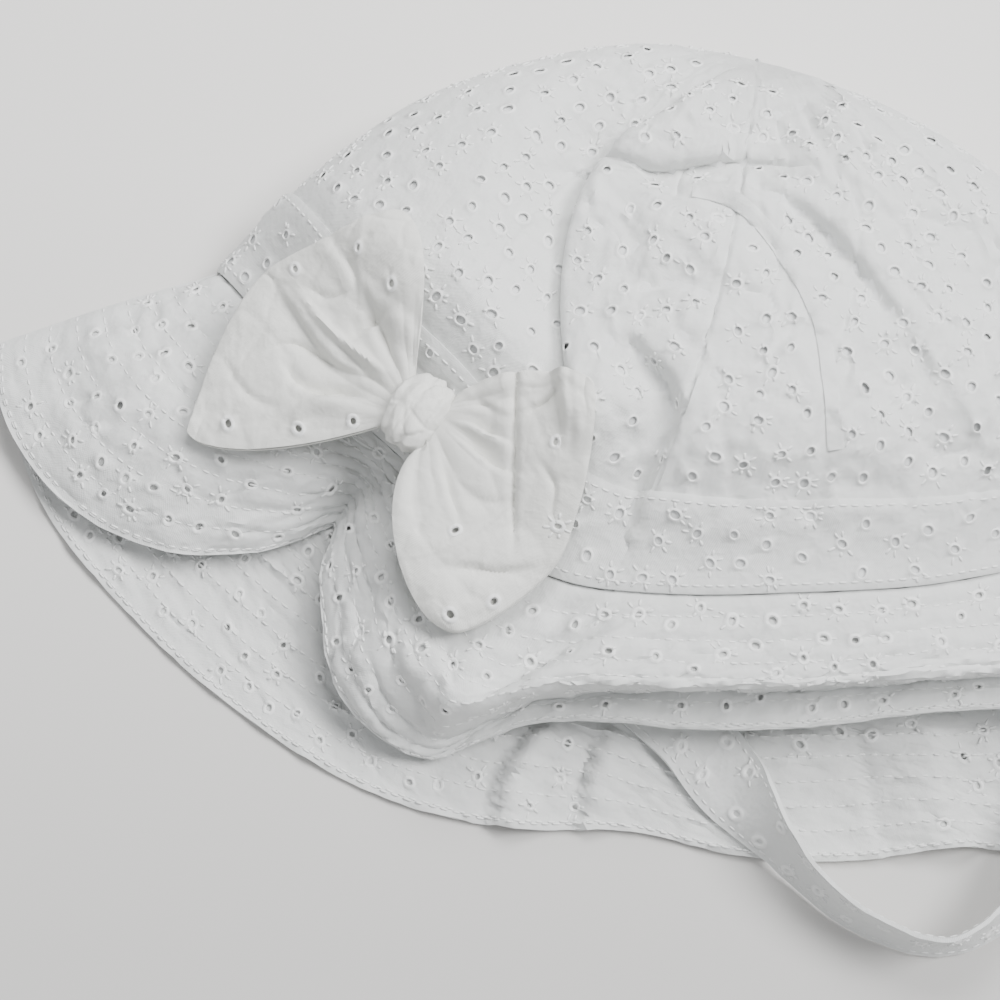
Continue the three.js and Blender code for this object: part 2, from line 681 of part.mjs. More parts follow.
function hatHeight(x, y) {
  let height = 0;
  for (const [a, b, c] of upperTriangles) {
    const area = (b.x - a.x) * (c.y - a.y) - (c.x - a.x) * (b.y - a.y);
    const u = ((x - a.x) * (c.y - a.y) - (c.x - a.x) * (y - a.y)) / area;
    const v = ((b.x - a.x) * (y - a.y) - (x - a.x) * (b.y - a.y)) / area;
    if (u >= 0 && v >= 0 && u + v <= 1) height = Math.max(height, a.z + u * (b.z - a.z) + v * (c.z - a.z));
  }
  return height;
}

const bowAxis = new THREE.Vector3(Math.cos(KNOT.turn), Math.sin(KNOT.turn), 0);
const bowAcross = new THREE.Vector3(-bowAxis.y, bowAxis.x, 0);
bowAxis.applyAxisAngle(bowAcross, -KNOT.tilt);
const bowUp = bowAxis.clone().cross(bowAcross);
const knotCentre = new THREE.Vector3(KNOT.x, KNOT.y, KNOT.z);

// One loop of the bow: the ribbon runs out under, turns over at the far end and comes back on top.
function loopGeometry(loop) {
  const far = openCurve(loop.far);
  const mouth = knotCentre.clone().addScaledVector(bowAxis, loop.side * (KNOT.length / 2 + KNOT_GAP));
  const grid = [];
  for (let k = 0; k <= 2 * LOOP_ALONG; k++) {
    const out = 1 - Math.abs(k - LOOP_ALONG) / LOOP_ALONG;
    const layer = Math.sign(k - LOOP_ALONG);
    grid.push(
      Array.from({ length: LOOP_ACROSS + 1 }, (_, i) => {
        const across = i / LOOP_ACROSS;
        const start = mouth.clone().addScaledVector(bowAcross, (across - 0.5) * LOOP_MOUTH);
        const point = start.lerp(far.getPoint(across), Math.sin((out * Math.PI) / 2));
        const swell = Math.sin(Math.PI * out) * (2 * across - 1) * Math.abs(2 * across - 1);
        point.addScaledVector(bowAcross, swell * (across < 0.5 ? loop.lowerBulge : loop.upperBulge));
        const around = [[0, 0], [1, 0], [-1, 0], [0, 1], [0, -1]];
        const heights = around.map(([dx, dy]) =>
          hatHeight(point.x + dx * LOOP_MARGIN, point.y + dy * LOOP_MARGIN),
        );
        const rest = Math.max(...heights) + LOOP_CLEARANCE;
        const ripple = Math.cos(5 * Math.PI * across) * Math.sin(Math.PI * Math.min(1, 1.6 * out));
        const gather = LOOP_GATHER * ripple;
        const puff = loop.puff * Math.sin(Math.PI * out) * (1 - (2 * across - 1) ** 4);
        point.z = Math.max(point.z - LOOP_LAYERS / 2, rest) + LOOP_LAYERS / 2;
        point.z += layer * (LOOP_LAYERS / 2) + (layer > 0 ? puff + gather * (1 - out) : 0);
        return point;
      }),
    );
  }
  return wall({ grid, normals: gridNormals(grid, false), closed: false, from: -RIBBON / 2, to: RIBBON / 2 });
}

// The knot: a short gathered barrel whose pleats run across the bow.
function knotGeometry() {
  const sides = 24;
  const rings = 7;
  const shapes = Array.from({ length: rings }, (_, j) => {
    const along = (j / (rings - 1) - 0.5) * 2;
    return Array.from({ length: sides }, (_, i) => {
      const angle = (i / sides) * 2 * Math.PI;
      const swell = 0.86 + 0.14 * Math.sqrt(1 - (along * 0.92) ** 2);
      const gather = 1 + 0.05 * Math.cos(7 * angle + along * 2);
      return knotCentre
        .clone()
        .addScaledVector(bowAxis, (along * KNOT.length) / 2)
        .addScaledVector(bowAcross, (Math.cos(angle) * KNOT.width * swell * gather) / 2)
        .addScaledVector(bowUp, (Math.sin(angle) * KNOT.height * swell * gather) / 2);
    });
  });
  const positions = shapes.flat().flatMap((point) => point.toArray());
  const faces = [];
  for (let j = 0; j < rings - 1; j++)
    for (let i = 0; i < sides; i++) {
      const next = (i + 1) % sides;
      const [a, b, c, d] = [j * sides + i, j * sides + next, (j + 1) * sides + next, (j + 1) * sides + i];
      faces.push(a, b, c, a, c, d);
    }
  for (const ring of [0, rings - 1]) {
    const middle = positions.length / 3;
    const end = knotCentre.clone().addScaledVector(bowAxis, ((ring ? 1 : -1) * KNOT.length) / 2);
    positions.push(...end.toArray());
    for (let i = 0; i < sides; i++) {
      const [a, b] = [ring * sides + i, ring * sides + ((i + 1) % sides)];
      faces.push(...(ring ? [a, b, middle] : [b, a, middle]));
    }
  }
  return facingOut(positions, faces);
}

// The chin strap: a flat strip that lies over the back of the brim and turns on its edge on the table.
function strapGeometry() {
  const steps = 48;
  const places = STRAP_ROUTE.map((_, i) => i);
  const rolls = STRAP_ROUTE.map((row) => row.roll);
  const curve = new THREE.CatmullRomCurve3(vectors(STRAP_ROUTE), false, "centripetal");
  const grid = [];
  for (let k = 0; k <= steps; k++) {
    const share = k / steps;
    const roll = throughKnots(places, rolls, share * (STRAP_ROUTE.length - 1));
    const middle = curve.getPoint(share);
    const along = curve.getTangent(share).setZ(0).normalize();
    const sideways = new THREE.Vector3(-along.y, along.x, 0);
    const angle = THREE.MathUtils.degToRad(roll);
    const lean = sideways.multiplyScalar(Math.cos(angle)).add(new THREE.Vector3(0, 0, Math.sin(angle)));
    grid.push([-0.5, 0.5].map((side) => middle.clone().addScaledVector(lean, side * STRAP_WIDTH)));
  }
  return wall({ grid, normals: gridNormals(grid, false), closed: false, from: -CLOTH / 2, to: CLOTH / 2 });
}

const wasm = await Module();
wasm.setup();
const toManifold = (geometry) => {
  const bare = new THREE.BufferGeometry().copy(geometry).deleteAttribute("normal").deleteAttribute("uv");
  const merged = mergeVertices(bare);
  return new wasm.Manifold(
    new wasm.Mesh({
      numProp: 3,
      vertProperties: merged.attributes.position.array,
      triVerts: new Uint32Array(merged.index.array),
    }),
  );
};

// A scattered number from 0 to 1 for each whole number, the same every time.
const scatter = (k) => Math.abs(Math.sin(12.9898 * k + 78.233) * 43758.5453) % 1;

// A piece with eyelets cut through it, each in the middle of one facet of its grid. The facets are tried in
// scattered order, and kept where they are wide enough, face up or down rather than sideways, and lie far
// enough from the eyelets already there.
function pierced(geometry, { grid, firstRing, lastRing, spacing, most }) {
  const facets = [];
  for (let j = firstRing; j < lastRing; j++)
    for (let i = 0; i < grid[j].length - 1; i++) {
      const [here, above] = [grid[j], grid[j + 1]];
      facets.push([here[i], above[i], above[i + 1]], [here[i], above[i + 1], here[i + 1]]);
    }
  const order = facets.map((corners, k) => ({ corners, rank: scatter(k) })).sort((a, b) => a.rank - b.rank);
  const centres = [];
  const cutters = [];
  for (const { corners } of order) {
    const [a, b, c] = corners;
    const [toB, toC] = [b.clone().sub(a), c.clone().sub(a)];
    const normal = toB.clone().cross(toC);
    const sides = [b.distanceTo(c), a.distanceTo(c), a.distanceTo(b)];
    const around = sides[0] + sides[1] + sides[2];
    const radius = normal.length() / around;
    const centre = new THREE.Vector3();
    corners.forEach((corner, k) => centre.addScaledVector(corner, sides[k] / around));
    normal.normalize();
    if (radius < EYELET_RADIUS + EYELET_EDGE || Math.abs(normal.z) < LEAST_FACING) continue;
    if (centres.some((other) => other.distanceTo(centre) < spacing) || centres.length >= most) continue;
    centres.push(centre);
    const cutter = new THREE.CylinderGeometry(EYELET_RADIUS, EYELET_RADIUS, 2 * EYELET_REACH, EYELET_SIDES);
    cutter.applyQuaternion(new THREE.Quaternion().setFromUnitVectors(new THREE.Vector3(0, 1, 0), normal));
    cutters.push(toManifold(cutter.translate(centre.x, centre.y, centre.z)));
  }
  const mesh = toManifold(geometry).subtract(wasm.Manifold.union(cutters)).getMesh();
  const result = new THREE.BufferGeometry();
  result.setAttribute("position", new THREE.BufferAttribute(mesh.vertProperties, 3));
  result.setIndex(new THREE.BufferAttribute(mesh.triVerts, 1));
  return result;
}

const hat = new THREE.Group();
hat.name = "sun_hat";

function add(name, geometry, finish) {
  const mesh = new THREE.Mesh(geometry, new THREE.MeshStandardMaterial(finish));
  mesh.name = name;
  hat.add(mesh);
}

// The first and last stations of the front and back halves of the crown and of the brim.
const CROWN_FRONT = [0, FRONT_STEPS];
const CROWN_BACK = [FRONT_STEPS, crownGrid[0].length];
const BRIM_FOLD = LEFT_STEPS + FRONT_STEPS;
const crownRows = { firstRing: BAND_RINGS, lastRing: crownGrid.length - 1, spacing: 15.5, most: 62 };
const brimRows = { firstRing: 1, lastRing: brimRings.length - 3, spacing: 19, most: 28 };
const frontGrid = half(crownGrid, ...CROWN_FRONT);
add("crown_front", pierced(crownGeometry(...CROWN_FRONT, 1), { grid: frontGrid, ...crownRows }), COTTON);
add("crown_back", crownGeometry(...CROWN_BACK, -1), COTTON);
add("hat_band", bandGeometry(), COTTON);
for (const [name, first, last] of [
  ["brim_front", 0, BRIM_FOLD],
  ["brim_back", BRIM_FOLD, brimRings[0].length],
])
  add(name, pierced(brimGeometry(first, last), { grid: half(brimRings, first, last), ...brimRows }), COTTON);
for (const loop of BOW_LOOPS) add(loop.name, loopGeometry(loop), BOW_COTTON);
add("bow_knot", knotGeometry(), BOW_COTTON);
add("chin_strap", strapGeometry(), COTTON);

export default hat;
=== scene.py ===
# %% [markdown]
# # A toddler's sun hat in white eyelet cotton
# The hat lies on its back on a pale table, as somebody put it down: the crown has caved in along one deep
# crease, the brim waves at the front, and the chin strap curls out from under it. Cloth like this is one
# thin sheet everywhere, so each piece is made as a sheet that follows the same measured tables as the solid
# model, only much finer, and then gets its holes, its embroidery and its stitches.

import json
import math

import bpy
import numpy as np
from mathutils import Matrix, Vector, noise
from mathutils.bvhtree import BVHTree

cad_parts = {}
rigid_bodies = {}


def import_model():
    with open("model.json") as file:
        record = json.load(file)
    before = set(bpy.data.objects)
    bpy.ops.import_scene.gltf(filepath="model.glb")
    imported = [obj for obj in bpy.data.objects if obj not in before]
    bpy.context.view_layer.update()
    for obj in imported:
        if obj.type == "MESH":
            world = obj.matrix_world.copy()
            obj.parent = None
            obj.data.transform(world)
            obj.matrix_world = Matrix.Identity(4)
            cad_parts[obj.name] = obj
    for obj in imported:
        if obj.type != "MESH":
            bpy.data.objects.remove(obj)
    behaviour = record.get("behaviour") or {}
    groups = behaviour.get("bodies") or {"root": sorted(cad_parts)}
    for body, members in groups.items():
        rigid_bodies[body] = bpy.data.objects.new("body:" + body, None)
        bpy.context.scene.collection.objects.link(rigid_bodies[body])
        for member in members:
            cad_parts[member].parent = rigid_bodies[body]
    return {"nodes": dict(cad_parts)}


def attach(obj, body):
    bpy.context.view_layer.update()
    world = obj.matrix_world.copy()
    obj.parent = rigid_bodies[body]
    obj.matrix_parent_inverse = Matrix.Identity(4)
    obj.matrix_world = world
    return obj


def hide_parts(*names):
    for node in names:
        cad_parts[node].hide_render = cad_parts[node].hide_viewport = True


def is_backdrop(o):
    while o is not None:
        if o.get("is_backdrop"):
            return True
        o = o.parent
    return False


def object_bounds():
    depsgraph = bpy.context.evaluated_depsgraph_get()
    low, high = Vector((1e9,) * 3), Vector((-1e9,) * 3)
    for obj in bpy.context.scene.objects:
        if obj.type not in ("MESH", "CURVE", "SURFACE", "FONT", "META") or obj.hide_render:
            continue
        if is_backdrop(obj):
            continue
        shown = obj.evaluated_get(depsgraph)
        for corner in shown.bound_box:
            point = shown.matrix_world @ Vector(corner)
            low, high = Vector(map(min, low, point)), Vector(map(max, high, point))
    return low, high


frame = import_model()
cad_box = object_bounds()
MM = 0.001
bpy.ops.object.select_all(action="DESELECT")
print("CAD pieces:", sorted(frame["nodes"]))

# %% [markdown]
# ## Camera, light and table
# The hat was seen from almost straight above, from the side of its brim. Soft daylight comes in from the
# right. A lamp over the top of the hat makes the light fall off towards the brim, and an even pale world
# fills the shadows.

# %% Camera, light and table
AIM = Vector((-0.040, -0.008, 0.0))
ELEVATION = math.radians(78)
DISTANCE = 0.8
VIEW_WIDTH = 0.25
SENSOR_WIDTH = 36
WORLD_COLOUR = (0.97, 0.985, 1.0, 1)
WORLD_STRENGTH = 0.6


def look_at(thing, target):
    thing.rotation_euler = (target - thing.location).to_track_quat("-Z", "Y").to_euler()


def add_light(name, kind, place, energy, **settings):
    """A light that points at the middle of the hat."""
    bpy.ops.object.light_add(type=kind, location=place)
    light = bpy.context.object
    light.name = name
    light.data.energy = energy
    for key, value in settings.items():
        setattr(light.data, key, value)
    look_at(light, Vector((0, 0, 0)))


camera = bpy.data.objects.new("camera", bpy.data.cameras.new("camera"))
bpy.context.scene.collection.objects.link(camera)
camera.location = AIM + DISTANCE * Vector((0, -math.cos(ELEVATION), math.sin(ELEVATION)))
look_at(camera, AIM)
camera.data.sensor_width = SENSOR_WIDTH
camera.data.lens = SENSOR_WIDTH * DISTANCE / VIEW_WIDTH
camera.data.clip_start = 0.01
bpy.context.scene.camera = camera

add_light("room_lamp", "AREA", (0.04, 0.24, 0.46), 2.2, size=0.24)
add_light("window_daylight", "SUN", (0.6, 0.15, 0.8), 3.2, angle=math.radians(24))

world = bpy.data.worlds.new("pale_room")
world.use_nodes = True
background = world.node_tree.nodes["Background"].inputs
background["Color"].default_value = WORLD_COLOUR
background["Strength"].default_value = WORLD_STRENGTH
bpy.context.scene.world = world

bpy.ops.mesh.primitive_plane_add(size=4, location=(0, 0, -0.0002))
table = bpy.context.object
table.name = "table"
table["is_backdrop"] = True

# %% [markdown]
# ## Sizes of the hat
# Every number here is in millimetres, in the frame of the solid model. A point on the cloth has a place
# round the head opening, from 0 at the left side fold over the front to 1 at the right one and round the
# back to 2, and a share of the way up the crown or out over the brim. The tables name the seams and folds.

# %% Sizes
# the solid model's cloth, and the share of the crown that its band covers, how far out and how thick
CLOTH = 1.4
BAND_SHARE = 0.11
BAND_STAND = 0.35
BAND_CLOTH = 1.2
# the deepest crease, which has the full lap
DEEPEST = 15
# heights of the dome above its foot and at its top, and how much more the left side is drawn up
DOME_HEIGHT = 54
TOP_HEIGHT = 12
LEFT_SLACK = 0.6
STRAP_WIDTH = 19

# x, y, z
FRONT_SEAM = [
    (-111, 49, 6), (-109.5, 47.5, 9.5), (-104, 41, 12.5), (-89, 22, 16), (-64, -2, 21), (-45, -22, 25),
    (-25, -34, 30), (0, -38, 34), (31, -38, 36), (60, -36, 34), (80, -32, 30), (98, -27, 21), (107, -23, 14),
    (110, -21.5, 9.5), (111, -21, 6),
]
BACK_SEAM = [
    (-111, 49, 6), (-110.8, 46, 2.6), (-109, 37, 2.1), (-104, 17, 2.1), (-82, -11, 2.1), (-52, -31, 2.1),
    (-20, -43, 2.1), (14, -48, 2.1), (54, -47, 2.1), (84, -40, 2.1), (103, -32, 2.1), (109.5, -24, 2.6),
    (111, -21, 6),
]
LEFT_FOLD = [(-111, 49, 6), (-90, 69, 10), (-63, 89, 12), (-37, 99, 13), (-6, 105, 13), (25, 103, 12)]
RIGHT_FOLD = [
    (111, -21, 6), (115, 4, 9), (112, 30, 11), (102, 52, 12), (84, 70, 13), (61, 86, 13), (25, 103, 12),
]

# %% [markdown]
# ## Folds pressed into the cloth
# A crease is a line on the plan of the hat. The cloth sinks along it, to a depth given at each turn, and the
# hollow spreads further on one side than on the other. A lap leans the lip over the hollow, which gives
# the dark overhang of the main crease.

# %% Folds
# How far the hollow spreads left and right of the line, lap, then x, y and depth at each turn. A depth below
# zero is a ridge.
CROWN_CREASES = [
    (2.2, 15, 7, [(19, 97, 3), (9, 86, 8), (0, 77, 11), (-8, 71, 14), (-13, 64, 15), (-17, 54, 15),
                  (-20, 44, 14), (-22, 30, 12), (-22.5, 14, 9), (-22.5, -2, 4)]),
    (1.8, 8, 5, [(-11, 66, 5), (-1, 66, 8), (10, 68, 8), (21, 68, 6), (31, 65.5, 3), (38, 63, 0.5)]),
    (1.5, 9, 2, [(20, 60, 1), (32, 54, 4.5), (42, 44, 5.5), (48, 36, 4.5), (57, 23, 1)]),
    (1.5, 6, 0, [(-2, 57, 1), (10, 56, 2), (19, 51, 2), (27, 39, 1.6), (34, 24, 1.2), (36, 8, 0.8),
                 (37, -7, 0.4)]),
    (6, 1.2, 0, [(-10, 33, 0.2), (-5, 33, 2), (1, 34, 3.4), (7, 32, 2.2), (15, 27, 0.2)]),
    (13, 2, 0, [(-8, 62, 0.5), (-13, 52, 4.5), (-16.5, 42, 6), (-18.5, 29, 4.2), (-19, 15, 0.6)]),
    (1.5, 10, 0, [(-12, 22, 1), (-6, 16, 6), (0, 8, 8), (0, -1, 8), (-3, -8, 7), (-7, -16, 5), (-8, -22, 3)]),
    (7, 4, 0, [(20, 72, 3), (30, 74, 4), (40, 82, 1)]),
    (10, 9, 0, [(46, 19, 2), (56, 9, 5), (64, -4, 4)]),
    (12, 12, 0, [(58, 62, 2), (72, 40, 5), (88, 14, 3)]),
    (8, 10, 0, [(-14, 84, 1), (-30, 62, 2.5), (-40, 36, 1)]),
]
# Fine ones, a millimetre or two wide.
FINE_CREASES = [
    (1.0, 1.6, 0, [(-8, 34, 0.5), (1, 34, 1), (6, 31, 0.3)]),
    (1.2, 2.5, 0, [(22, 56, 0.2), (33, 51, 1.2), (42, 43, 1.4), (50, 32, 0.9), (57, 20, 0.2)]),
    (1.4, 3, 0, [(16, 79, 0.2), (27, 81, 1.5), (35, 85, 1.2), (41, 88, 0.2)]),
    (1.6, 2.5, 0, [(48, 58, 0.2), (54, 52, 1.2), (58, 44, 0.8), (60, 38, 0.2)]),
    (1.2, 2.4, 0, [(54, 24, 0.2), (60, 16, 1), (66, 8, 0.8), (70, 0, 0.2)]),
    (1.5, 3, 0, [(26, 62, 0.2), (36, 60, 1.4), (46, 53, 1.2), (54, 44, 0.4)]),
    (1.4, 2, 0, [(-3, 72, 0.2), (6, 75, 1), (18, 76, 1.2), (30, 72, 0.6)]),
    (1.2, 2.2, 0, [(-20, 10, 0.2), (-13, 4, 1), (-8, -4, 0.8), (-7, -12, 0.2)]),
    (1.5, 2, 0, [(-1, 60, 0.2), (7, 62, 1.1), (16, 62, 1), (26, 59, 0.3)]),
    (1.6, 3, 0, [(31, 88, -0.2), (43, 78, -1.7), (53, 68, -1.1), (60, 58, -0.2)]),
    (2.6, 1, 0, [(33, 87, 0.2), (38, 70, 2), (43, 60, 1.2), (47, 52, 0.2)]),
    (1.2, 2.2, 0, [(3, 63, -0.2), (17, 59, -1.8), (31, 51, -1.8), (43, 42, -1), (48, 34, -0.2)]),
    (1, 1.6, 0, [(5, 78, 0.2), (7.5, 86, 1.2), (9, 90, 0.2)]),
    (0.9, 2.4, 0, [(-16, 56, 0.2), (-10, 50, 1.4), (-6, 42, 1.2), (-9, 34, 0.2)]),
    (0.9, 2, 0, [(-14, 26, 0.2), (-8, 26, 1.2), (-1, 28, 0.3)]),
    (1.2, 8, 0, [(17, 95, -1), (9, 86, -3), (0, 77, -3.5), (-8, 71, -3.5), (-13, 64, -2), (-16.5, 56, -0.5)]),
]
# The loose edge of a panel, x and y.
PANEL_EDGE = [(6, 56.5, 0), (12, 55.5, 0), (19, 51, 0), (27, 39, 0), (34, 24, 0), (36, 8, 0), (37, -7, 0)]
BRIM_PLEATS = [
    (9, 1.5, 0, [(-25, -62, -3), (-33, -72, -6), (-38, -80, -6), (-40.5, -91, -3.6)]),
    (7, 1.4, 0, [(-11.5, -64, -1), (-16, -75, -4.2), (-19, -87, -2.6)]),
    (1.2, 3, 0, [(-24, -68, 0.3), (-29, -77, 1.6), (-30, -87, 0.6)]),
    (3.5, 14, 0, [(64, -64, -3), (67, -80, -5.5), (72, -98, -3.8)]),
    (1.5, 0.9, 0, [(47, -64, 0.6), (50, -80, 1.2), (53.5, -97, 0.6)]),
    (1.2, 4, 0, [(-70, -60, 0.2), (-62, -68, 1.2), (-52, -76, 0.4)]),
]

# %% [markdown]
# ## Curves and creases as arrays
# Smooth curves pass through the rows of a table. NumPy works out all points of a sheet at once, so that a
# sheet with tens of thousands of points still takes a moment.

# %% Curves
def distances(line):
    """How far along a line each of its points is."""
    return np.r_[0, np.cumsum(np.linalg.norm(np.diff(line, axis=0), axis=1))]


def unit(vectors):
    return vectors / np.maximum(np.linalg.norm(vectors, axis=-1, keepdims=True), 1e-9)


def segment(a, b, c, d, share):
    """Points between b and c on the smooth curve that passes a, b, c and d."""
    pairs = (a, b), (b, c), (c, d)
    before, here, after = (np.sum((q - p) ** 2, -1, keepdims=True) ** 0.25 for p, q in pairs)
    start = ((b - a) / before - (c - a) / (before + here) + (c - b) / here) * here
    end = ((c - b) / here - (d - b) / (here + after) + (d - c) / after) * here
    w = np.asarray(share, float)[..., None]
    return b + start * w + (3 * (c - b) - 2 * start - end) * w**2 + (2 * (b - c) + start + end) * w**3


def curve(rows, places):
    rows = np.asarray(rows, float)
    last = len(rows) - 1
    place = np.clip(places, 0, 1) * last
    i = np.minimum(place.astype(int), last - 1)
    longer = np.vstack([2 * rows[0] - rows[1], rows, 2 * rows[-1] - rows[-2]])
    return segment(longer[i], longer[i + 1], longer[i + 2], longer[i + 3], place - i)


def even_curve(rows, shares):
    """Points at shares of the curve's length."""
    steps = np.linspace(0, 1, 201)
    lengths = distances(curve(rows, steps))
    return curve(rows, np.interp(np.asarray(shares) * lengths[-1], lengths, steps))


def lerp(a, b, share):
    return a + (b - a) * share


def smooth(value):
    value = np.clip(value, 0, 1)
    return value**2 * (3 - 2 * value)


def through_knots(places, values, place):
    """A smooth curve through knots that overshoots none of them. values may hold arrays."""
    values = [np.asarray(v, float) for v in values]
    rises = [(values[i + 1] - values[i]) / (places[i + 1] - places[i]) for i in range(len(places) - 1)]
    i = max(0, min(len(rises), sum(p <= place for p in places)) - 1)

    def slope(k):
        before, after = rises[max(0, k - 1)], rises[min(len(rises) - 1, k)]
        total = np.where(before * after <= 0, 1, before + after)
        return np.where(before * after <= 0, 0, 2 * before * after / total)

    span = places[i + 1] - places[i]
    t = min(1, max(0, (place - places[i]) / span))
    start = (1 + 2 * t) * (1 - t) ** 2 * values[i] + t * (1 - t) ** 2 * span * slope(i)
    return start + t * t * (3 - 2 * t) * values[i + 1] + t * t * (t - 1) * span * slope(i + 1)


def crease_shift(creases, plan):
    """How creases move cloth at points of the plan: down into the hollow, and sideways at a lip."""
    shape, plan = plan.shape[:-1], plan.reshape(-1, 2)
    shift = np.zeros((len(plan), 3))
    for left, right, lap, turns in creases:
        line = curve(turns, np.linspace(0, 1, 33))
        best = np.full(len(plan), np.inf)
        side, deep = np.ones(len(plan)), np.zeros(len(plan))
        lean_x, lean_y = np.zeros(len(plan)), np.zeros(len(plan))
        for start, end in zip(line[:-1], line[1:]):
            run = end[:2] - start[:2]
            off = plan - start[:2]
            share = np.clip(off @ run / (run @ run), 0, 1)
            distance = np.linalg.norm(off - share[:, None] * run, axis=1)
            near = distance < best
            best = np.where(near, distance, best)
            side = np.where(near, np.where(run[0] * off[:, 1] - run[1] * off[:, 0] < 0, -1, 1), side)
            deep = np.where(near, lerp(start[2], end[2], share), deep)
            lean_x = np.where(near, run[1] / np.hypot(*run), lean_x)
            lean_y = np.where(near, -run[0] / np.hypot(*run), lean_y)
        shift[:, 2] -= deep * np.exp(-((best / np.where(side > 0, left, right)) ** 2))
        if lap:
            lean = lap * deep * np.exp(-((side * best / left - 1) ** 2)) / DEEPEST
            shift[:, 0] += lean * lean_x
            shift[:, 1] += lean * lean_y
    return shift.reshape(*shape, 3)


def ripples(points, size, seed=0, stretch=(1, 1, 1)):
    """Smooth noise from -1 to 1 at points, with waves about as long as size."""
    places = (points * (np.array(stretch, float) / size) + seed * 17.3).reshape(-1, 3)
    return np.array([noise.noise(Vector(p)) for p in places]).reshape(points.shape[:-1])


def pressed(points, lines, stretch=(1, 1, 0.35)):
    """Sharp lines pressed between smooth patches. lines holds height, patch size, line width and seed."""
    lift = 0
    for height, size, width, seed in lines:
        places = points * np.array(stretch, float) / size + seed * 9.1
        wander = ripples(points, size, seed + 50), ripples(points, size, seed + 51), 0 * points[..., 0]
        places = (places + 0.35 * np.stack(wander, axis=-1)).reshape(-1, 3)
        near = np.array([noise.voronoi(Vector(p))[0][:2] for p in places])
        lift = lift + height * np.exp(-np.abs(near[:, 1] - near[:, 0]) * size / 2 / width)
    return lift.reshape(points.shape[:-1])


# %% [markdown]
# ## The crown's cloth
# The crown is six panels that meet at the button point. Here they make one dome, flat at the back, where it
# lies on the table, and caved in along the creases at the front. Small ripples, the pull of the band and the
# ditch of each panel seam are added to the same surface.

# %% Crown surface
def crown_form(at, share, creases):
    """Points of the crown's outside, without its small ripples."""
    at, share = np.broadcast_arrays(np.asarray(at, float) % 2, share)
    front = at <= 1
    across = np.where(front, at, 2 - at)
    up = np.minimum(share + LEFT_SLACK * (1 - across) ** 3 * share * (1 - share), 1)
    seam = np.where(front[..., None], even_curve(FRONT_SEAM, across), even_curve(BACK_SEAM, across))
    left, right = even_curve(LEFT_FOLD, up), even_curve(RIGHT_FOLD, up)
    point = lerp(left, right, across[..., None])
    ends = lerp(np.array(FRONT_SEAM[0], float), np.array(RIGHT_FOLD[0], float), across[..., None])
    point[..., :2] += (seam - ends)[..., :2] * (1 - up)[..., None]
    side = lerp(left[..., 2], right[..., 2], across)
    off = np.abs(2 * across - 1)
    top = TOP_HEIGHT + (DOME_HEIGHT - TOP_HEIGHT) * np.maximum(0, 1 - up**3) ** 0.8
    arch = np.sqrt(np.maximum(0, 1 - off**3))
    above = lerp(seam[..., 2], side + (top - side) * arch, smooth(up / 0.22))
    below = side * (1 - np.sqrt(np.maximum(0, 1 - off**8)))
    below = lerp(seam[..., 2], below, smooth((up - BAND_SHARE * 1.05) / 0.1))
    point[..., 2] = np.where(front, above, below)
    amount = smooth(arch * 1.4 - 0.2) * smooth((1 - up) * 5) * smooth(up / 0.12) * front
    return point + crease_shift(creases, point[..., :2]) * amount[..., None]


# heights of the crown's wide, fine and tiny ripples and of the gathers over its band
WIDE, FINE, TINY, GATHER = 0.9, 0.5, 0.22, 0.55
CROWN_LINES = [(1.15, 15, 0.9, 5), (-1.15, 19, 0.8, 6), (-0.5, 8, 0.6, 7)]
# left of this x the dome is smooth, over a width, with this share of the fine relief
SMOOTH_X, SMOOTH_WIDTH, SMOOTH_SHARE = -14, 16, 0.3


def crown_point(at, share):
    """Points of the crown's outside, with its ripples."""
    point = crown_form(at, share, CROWN_CREASES + FINE_CREASES)
    at, share = np.broadcast_arrays(np.asarray(at, float) % 2, share)
    rough = lerp(1.0, SMOOTH_SHARE, smooth((SMOOTH_X - point[..., 0]) / SMOOTH_WIDTH))
    wide = ripples(point, 24, 1, (1, 0.8, 0.3))
    fine = np.maximum(1 - np.abs(ripples(point, 13, 2, (1, 0.7, 0.3))) * 2.2, 0) ** 3
    tiny = ripples(point, 5, 3, (1, 0.8, 0.5))
    gather = ripples(np.stack([at * 150, share * 30, 0 * at], axis=-1), 4.5, 4)
    pull = np.exp(-(((share - 0.12) / 0.09) ** 2))
    lift = WIDE * wide + FINE * rough * fine + TINY * rough * tiny + GATHER * gather * pull
    lift = lift + rough * pressed(point, CROWN_LINES)
    front = smooth((1 - np.abs(2 * at - 1)) * 6) * (at <= 1)
    lift = lift * lerp(0.12, 1, front) * smooth((1 - share) * 8)
    point[..., 2] += lift * smooth((share - 0.02) / 0.1) * front
    return point


# %% [markdown]
# ## From a table to a grid
# A sheet starts as a grid of points, ring by ring. Its stations are set at equal distances along the folded
# cloth, not on the plan, so that the steep wall of a crease gets as many as a flat part of the same size.

# %% Grids
def even_stations(rows_of_points, count):
    """For each row of points, the fractional positions of count stations at equal distances along it."""
    ticks = np.arange(rows_of_points.shape[1])
    rows = [distances(row) for row in rows_of_points]
    return np.array([np.interp(np.linspace(0, row[-1], count + 1), row, ticks) for row in rows])


def grid_normals(grid, closed=False):
    """Unit normals of a grid[ring][station], out of the side from which stations run anticlockwise."""
    if closed:
        wide = np.concatenate([grid[:, -2:-1], grid, grid[:, 1:2]], axis=1)
        along = wide[:, 2:] - wide[:, :-2]
    else:
        along = np.gradient(grid, axis=1)
    return unit(np.cross(along, np.gradient(grid, axis=0)))


PANEL_STEPS = [56, 88, 100, 60, 22, 22]
CROWN_RINGS = 129
# points that measure a panel's width, the way up the crown and the way round it
PANEL_FINE, RISE_FINE, ROUND_FINE = 161, 301, 1201
